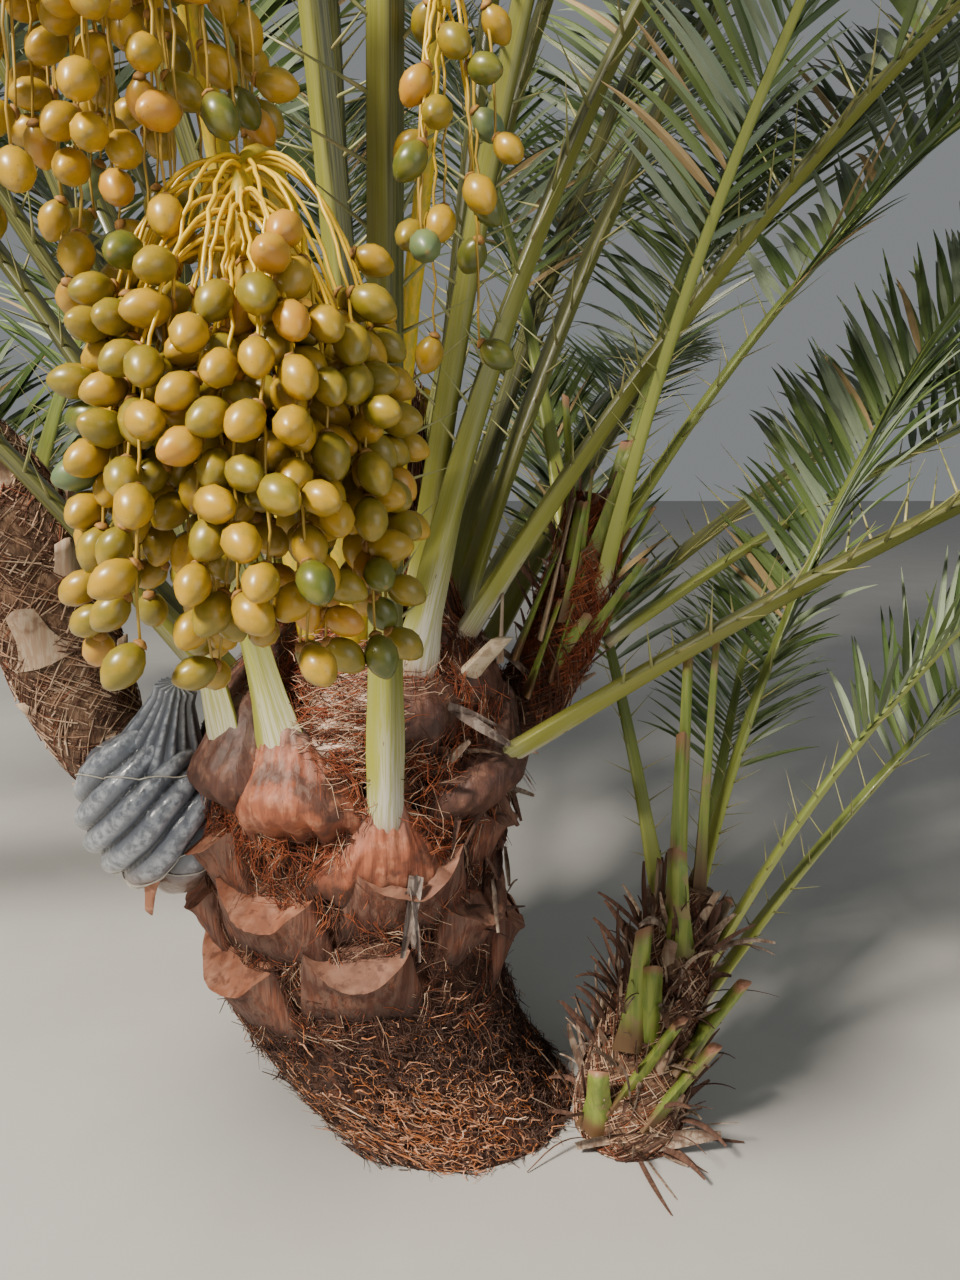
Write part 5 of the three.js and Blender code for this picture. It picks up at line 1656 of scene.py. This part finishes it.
upper.add(blades, np.where(chance(n, 139) < 0.6, OLD_STRIP, DRY_STRIP))
upper.build("upper_offshoot_stem_surface", STEM_FINISHES, ["upper_offshoot_stem"], "bark")

# %% The lower stem with its stubs
LOWER_STUBS = [  # foot, azimuth, elevation, length
    ((0.368, -0.160, 0.150), -8, 56, 0.180),
    ((0.322, -0.172, 0.060), -20, 56, 0.180),
    ((0.322, -0.160, 0.150), -92, 80, 0.190),
    ((0.374, -0.140, 0.300), -120, 82, 0.220),
    ((0.246, -0.160, 0.040), -100, 66, 0.150),
    ((0.362, -0.128, 0.300), -78, 88, 0.400),
    ((0.372, -0.120, 0.340), -74, 89, 0.490),
    ((0.410, -0.100, 0.400), -45, 88, 0.455),
    ((0.296, -0.165, 0.190), -65, 83, 0.210),
    ((0.272, -0.160, 0.080), -29, 60, 0.205),
]
STUB_WIDTH, STUB_THICK = 0.040, 0.024
lower = matted_stem("lower", 3000, 91, 0.0010, 0.09, 0.0, 0.26, 0.44)
stem_stubs(lower, stems["lower"], 11, 0.22, 0.95, 2.4, 0.085, 0.026, TAN_STUB, STUB_CUT, 0.25)
foot, turned, raised, long = columns_of(LOWER_STUBS)
way, flat = heading(turned, raised), heading(turned + 90, 0)
slim = np.where(long > 0.3, 0.55, 1)  # the long ones are slim
stubs(lower, foot, way, flat, long, STUB_WIDTH * slim, STUB_THICK * slim, GREEN_STUB, STUB_CUT)

# %% Dry strips round the lower stem
n = np.arange(330)
share, turned = between(0.0, 0.88, n, 101), 360 * chance(n, 102)
start = on_stem(stems["lower"], share, np.radians(turned), -0.004 + 0 * n)
out = unit(on_stem(stems["lower"], share, np.radians(turned), 0.05 + 0 * n) - start)
steep = lerp(0.15, 1.0, smooth(0.0, 0.25, share))[:, None]  # near the ground they lie flatter
way = unit(np.array([0.12, 0, 1.0]) * steep + out * lerp(0.1, 1.3, chance(n, 104) ** 2)[:, None])
length, width = between(0.04, 0.15, n, 105), lerp(0.003, 0.015, chance(n, 106) ** 1.5)
blades = strips(start, way, length, width, between(0, 0.6, n, 107), 108)
lower.add(blades, np.where(chance(n, 109) < 0.6, OLD_STRIP, DRY_STRIP))
near = np.array([(0.205, -0.185, 0.020), (0.300, -0.180, 0.016)])  # two that lie at its foot
fallen = strips(near, heading([-10, -4], [22, 16]), [0.14, 0.16], [0.026, 0.028], [0.1, 0.1], 141)
lower.add(fallen, DRY_STRIP)
lower.build("lower_offshoot_stem_surface", STEM_FINISHES, ["lower_offshoot_stem"], "bark")

# %% [markdown]
# Strips on the trunk. Old sheaths have torn into shreds that hang all over the right flank. A few
# grey ones hang below two of the front fronds, and stiff ones stand round the foot of the lowest
# frond on the right. One cut stalk of a cream colour stands out above it.

# %% Finishes of the trunk's strips
grey_strip = Finish("grey strip", (0.17, 0.125, 0.105), 0.8)
grey_strip.over("fibres", (0.34, 0.28, 0.24), 0.7, Across=140, Along=14)
grey_strip.over("blotches", (0.06, 0.034, 0.026), 0.8, Scale=30, Low=0.48, High=0.6)
cream_stub = Finish("cream stub", (0.60, 0.48, 0.33), 0.8)
cream_stub.over("blotches", (0.34, 0.22, 0.13), 0.7, Scale=60, Low=0.46, High=0.6)
STRIPS = [strip_dark, strip_finish, grey_strip, cream_stub, cut_pink]
DARK, DRY, GREY, CREAM = range(4)

# %% Shreds on the right flank
n = np.arange(70)
azimuth, z = 2 + 90 * swing(n, 111), 0.36 + 0.42 * chance(n, 112)
start = on_trunk(azimuth, z, 0.008 + 0.018 * chance(n, 113))
outwards = heading(azimuth, 0) * 0.10
sideways = heading(azimuth + 90, 0) * 1.4 * swing(n, 114)[:, None]
downwards = np.array([0, 0, -1]) * between(-0.2, 1.3, n, 115)[:, None]
length, width = between(0.04, 0.10, n, 116), between(0.006, 0.020, n, 117)
flank = strips(start, unit(outwards + sideways + downwards), length, width,
               between(0.1, 0.5, n, 118), 119)
shreds = Surfaces()
shreds.add(flank, np.where(chance(n, 120) < 0.25, DRY, DARK))
print("shreds on the flank:", len(flank))

# %% Grey strips below two front fronds
n = np.arange(7)
lower_four = n < 4
azimuth = np.where(lower_four, -64, -52) + 5 * swing(n, 121)
z = np.where(lower_four, 0.490, 0.740) + 0.03 * chance(n, 122)
way = np.where(lower_four[:, None], (0.02, -0.05, -1), (0.8, -0.5, -0.2))
way = unit(way + 0.25 * heading(360 * chance(n, 123), 0))
length, width = between(0.06, 0.13, n, 124), between(0.008, 0.020, n, 125)
shreds.add(strips(on_trunk(azimuth, z, 0.045), way, length, width, 0.1 + 0 * n, 131), GREY)

# %% Torn sheath and a cut stalk by the lowest frond on the right
n = np.arange(26)
start = on_trunk(-20 - 40 * chance(n, 151), 0.650 + 0.09 * swing(n, 152), 0.004)
way = heading(-8 + 60 * swing(n, 153), 30 + 60 * swing(n, 154))
length, width = between(0.04, 0.10, n, 155), between(0.010, 0.024, n, 156)
torn = strips(start, way, length, width, between(0.05, 0.4, n, 157), 161)
shreds.add(torn, np.where(chance(n, 158) < 0.3, DRY, DARK))
stub_foot = on_trunk(-34, 0.760, np.array([-0.030]))
stubs(shreds, stub_foot, heading([-22], [46]), heading([68], [0]), [0.125], [0.050], [0.034],
      CREAM, CREAM)
shreds.build("trunk_dry_strips", STRIPS, ["trunk"], "bark")

# %% [markdown]
# The rooting sack. To make the left offshoot grow roots of its own, its foot is packed in damp
# matter inside a thin grey plastic sack, tied round with string. The plastic lies in long pillowy
# folds that run from the tie to the far side like the segments of a fruit. The sack is one
# surface: the solid's outline turned round its axis, pushed in along each fold line.

# %% The folds of the sack
SACK_MIDDLE, SACK_TILT = np.array([-0.482, -0.074, 0.570]), 24
SACK_OUTLINE = np.array([  # radius and height
    (0.010, -0.157), (0.046, -0.150), (0.084, -0.118), (0.116, -0.070), (0.128, -0.010),
    (0.120, 0.046), (0.098, 0.092), (0.070, 0.124), (0.012, 0.132),
])
ROLLS = 10.2  # waves of the rolls over one radius of the sack
ACROSS_ROLLS, ALONG_ROLLS = np.array([-0.66, 0.02, 0.75]), np.array([0.68, 0.43, 0.59])


def crease(way):
    """1 - |sin|^0.55 across each roll: 0 on its back and 1 in the crease beside it. The rolls lie
    side by side, aslant, and close up a little towards the tie."""
    closer = 1 + 0.22 * (way @ ALONG_ROLLS)
    wave = (way @ ACROSS_ROLLS) * ROLLS * closer + 0.8 * rough(way, 2.6, 4)
    return 1 - np.abs(np.sin(wave)) ** 0.55


def sack_points(level, turn, proud=0.0):
    """A point of the sack: radius by its outline, times 1 - 0.145 crease, and crumpled."""
    smooth_outline, _ = smooth_curve(np.c_[SACK_OUTLINE, np.zeros(len(SACK_OUTLINE))], 120)
    even = evenly(120)
    radius = np.interp(level, even, smooth_outline[:, 0]) + proud
    height = np.interp(level, even, smooth_outline[:, 1])
    tilt = np.radians(-SACK_TILT)
    axis = np.array([np.sin(tilt), 0, np.cos(tilt)])
    first = np.array([np.cos(tilt), 0, -np.sin(tilt)])
    ring = first * np.cos(turn)[..., None] + np.array([0, 1, 0]) * np.sin(turn)[..., None]
    flat = ring * radius[..., None] + axis * height[..., None]
    crumpled = 0.020 * rough(flat, 60, 8) + 0.014 * rough(flat, 150, 9)
    return SACK_MIDDLE + flat * (1 - 0.145 * crease(unit(flat)) + crumpled)[..., None]


# %% The sack's plastic
sack_finish = Finish("sack plastic", (0.150, 0.166, 0.200), 0.28, Coat_Weight=0.5)
folding = sack_finish.flow("X")  # 0 on the back of a roll and 1 in the crease beside it
# Painted highlight on the backs of the rolls, broken into small glints.
ridge = sack_finish.step(folding, 0.34, 0.0)
wrinkle_glints = sack_finish.mask("blotches", Scale=75, Low=0.36, High=0.64)
sack_finish.over("blotches", (0.045, 0.052, 0.066), 0.4, Scale=9, Low=0.5, High=0.68)
sack_finish.layer((0.48, 0.51, 0.56), sack_finish.times(ridge, wrinkle_glints), 0.8)
# Painted shade: nearly black in the creases between the rolls.
sack_finish.layer((0.026, 0.029, 0.037), sack_finish.step(folding, 0.28, 0.78), 0.85)
place = sack_finish.tree.nodes.new("ShaderNodeSeparateXYZ")
sack_finish.tree.links.new(sack_finish.place, place.inputs["Vector"])
soiled = sack_finish.step(place.outputs["Z"], 0.500, 0.445)
sack_finish.layer((0.22, 0.13, 0.085), soiled, 0.85)
sack_finish.bump("fibres", 0.6, 0.004, Across=75, Along=60)
string_finish = Finish("sack string", (0.62, 0.58, 0.50), 0.7)
string_finish.over("blotches", (0.40, 0.36, 0.30), 0.6, Scale=60)
sack = Surfaces()
level, turn = np.meshgrid(evenly(110), turns(200), indexing="ij")
folded = sack_points(level, turn)
# The flow across is the crease, which the sack's finish uses for painted highlight on the rolls and painted
# shade in the creases.
flow = np.stack([crease(unit(folded - SACK_MIDDLE)), level], -1)
sack.add(folded, 0, wrap=True, caps="az", flow=flow)
print("sack, lowest and highest point:", np.round([folded[..., 2].min(), folded[..., 2].max()], 3))

# %% [markdown]
# Above the tie the plastic is gathered into a pleated neck that leans to the right: rings along
# a straight line, with the girth from a short table. The strings are thin tubes through points of
# the sack itself, 3 mm proud of it, so they dip into its creases as real string does.

# %% The neck and the strings
NECK_FOOT, NECK_TIP = np.array([-0.480, -0.080, 0.620]), np.array([-0.430, -0.110, 0.775])
PLEATS = 17
STRINGS = ((0.36, 0.10, 0.4), (0.27, -0.08, 2.0), (0.62, 0.16, 4.0), (0.93, 0.01, 0))
share, turn = np.meshgrid(evenly(26), turns(96), indexing="ij")
line = NECK_FOOT + (NECK_TIP - NECK_FOOT) * share[..., None]
girth = np.interp(share, [0, 0.3, 0.6, 0.85, 0.96, 1], [0.084, 0.068, 0.045, 0.030, 0.030, 0.006])
pleats = 0.10 * np.sin(turn * PLEATS) * smooth(0.1, 0.7, share)
girth = girth * (1 + pleats + 0.08 * np.sin(turn * 5 + 2))
_, side, other = path_frames(line[None, :, 0], (0, 1, 0))
ring = side[0][:, None] * np.cos(turn)[..., None] + other[0][:, None] * np.sin(turn)[..., None]
# Across the pleats the flow goes from 0 on their backs to 0.6 between them, so the neck takes the same
# painted highlight and painted shade.
flow = np.stack([0.30 - 0.30 * np.sin(turn * PLEATS), share], -1)
sack.add(line + ring * girth[..., None], 0, wrap=True, caps="z", flow=flow)
around = turns(90)
for height, slope, shift in STRINGS:
    string = sack_points(height + slope * np.sin(around + shift), around, 0.003)
    string = np.vstack([string, string[:2]])
    sack.add(tubes(string[None], 0.0011, 5), 1, wrap=True)
sack.build("rooting_sack_plastic", [sack_finish, string_finish], ["rooting_sack"], "sacking")

# %% [markdown]
# Last, the room. The floor and the lights are a plain studio: a pale floor, a soft even sky, and
# one large lamp up on the left, where the light falls from on the real tree. The camera stands
# where the picture was taken, at a grown person's chest height, 1.6 m in front of the trunk.

# %% The floor
FLOOR_SIDE = 160.0
floor_mesh = bpy.data.meshes.new("floor")
half = FLOOR_SIDE / 2
corners = [(-half, -half, 0), (half, -half, 0), (half, half, 0), (-half, half, 0)]
floor_mesh.from_pydata(corners, [], [(0, 1, 2, 3)])
floor = put_in_scene("floor", floor_mesh)
floor_finish = Finish("pale floor", (0.46, 0.45, 0.43), 0.9)
floor_finish.over("blotches", (0.42, 0.41, 0.39), 0.5, Scale=2)
floor.data.materials.append(floor_finish.material)
print("floor:", FLOOR_SIDE, "m square")

# %% The light
SKY_STRENGTH = 0.26
world = bpy.data.worlds.new("studio")
bpy.context.scene.world = world
world.use_nodes = True
set_inputs(world.node_tree.nodes["Background"], Color=(0.86, 0.90, 0.93, 1), Strength=SKY_STRENGTH)


def aim(thing, place, target):
    thing.location = place
    thing.rotation_euler = (Vector(target) - Vector(place)).to_track_quat("-Z", "Y").to_euler()


def lamp(name, place, target, side, power, colour):
    light = bpy.data.lights.new(name, "AREA")
    light.size, light.energy, light.color = side, power, colour
    aim(put_in_scene(name, light), place, target)


lamp("key", (-4.2, -5.0, 6.5), (-0.1, 0, 0.9), 1.3, 1800, (1.0, 0.92, 0.80))
lamp("fill", (4.5, -4.5, 2.5), (0, 0, 1.0), 4.0, 90, (0.92, 0.96, 1.0))

# %% The camera
CAMERA_PLACE = (0.05, -1.60, 1.08)
CAMERA_DOWN = 9  # degrees below the level
camera_data = bpy.data.cameras.new("camera")
camera_data.lens, camera_data.sensor_width = 27, 36
camera = put_in_scene("camera", camera_data)
camera.location = CAMERA_PLACE
camera.rotation_euler = (np.radians(90 - CAMERA_DOWN), 0, 0)
camera_data.clip_start, camera_data.clip_end = 0.02, 100
bpy.context.scene.camera = camera
print("camera at", CAMERA_PLACE, "looking", CAMERA_DOWN, "degrees down")
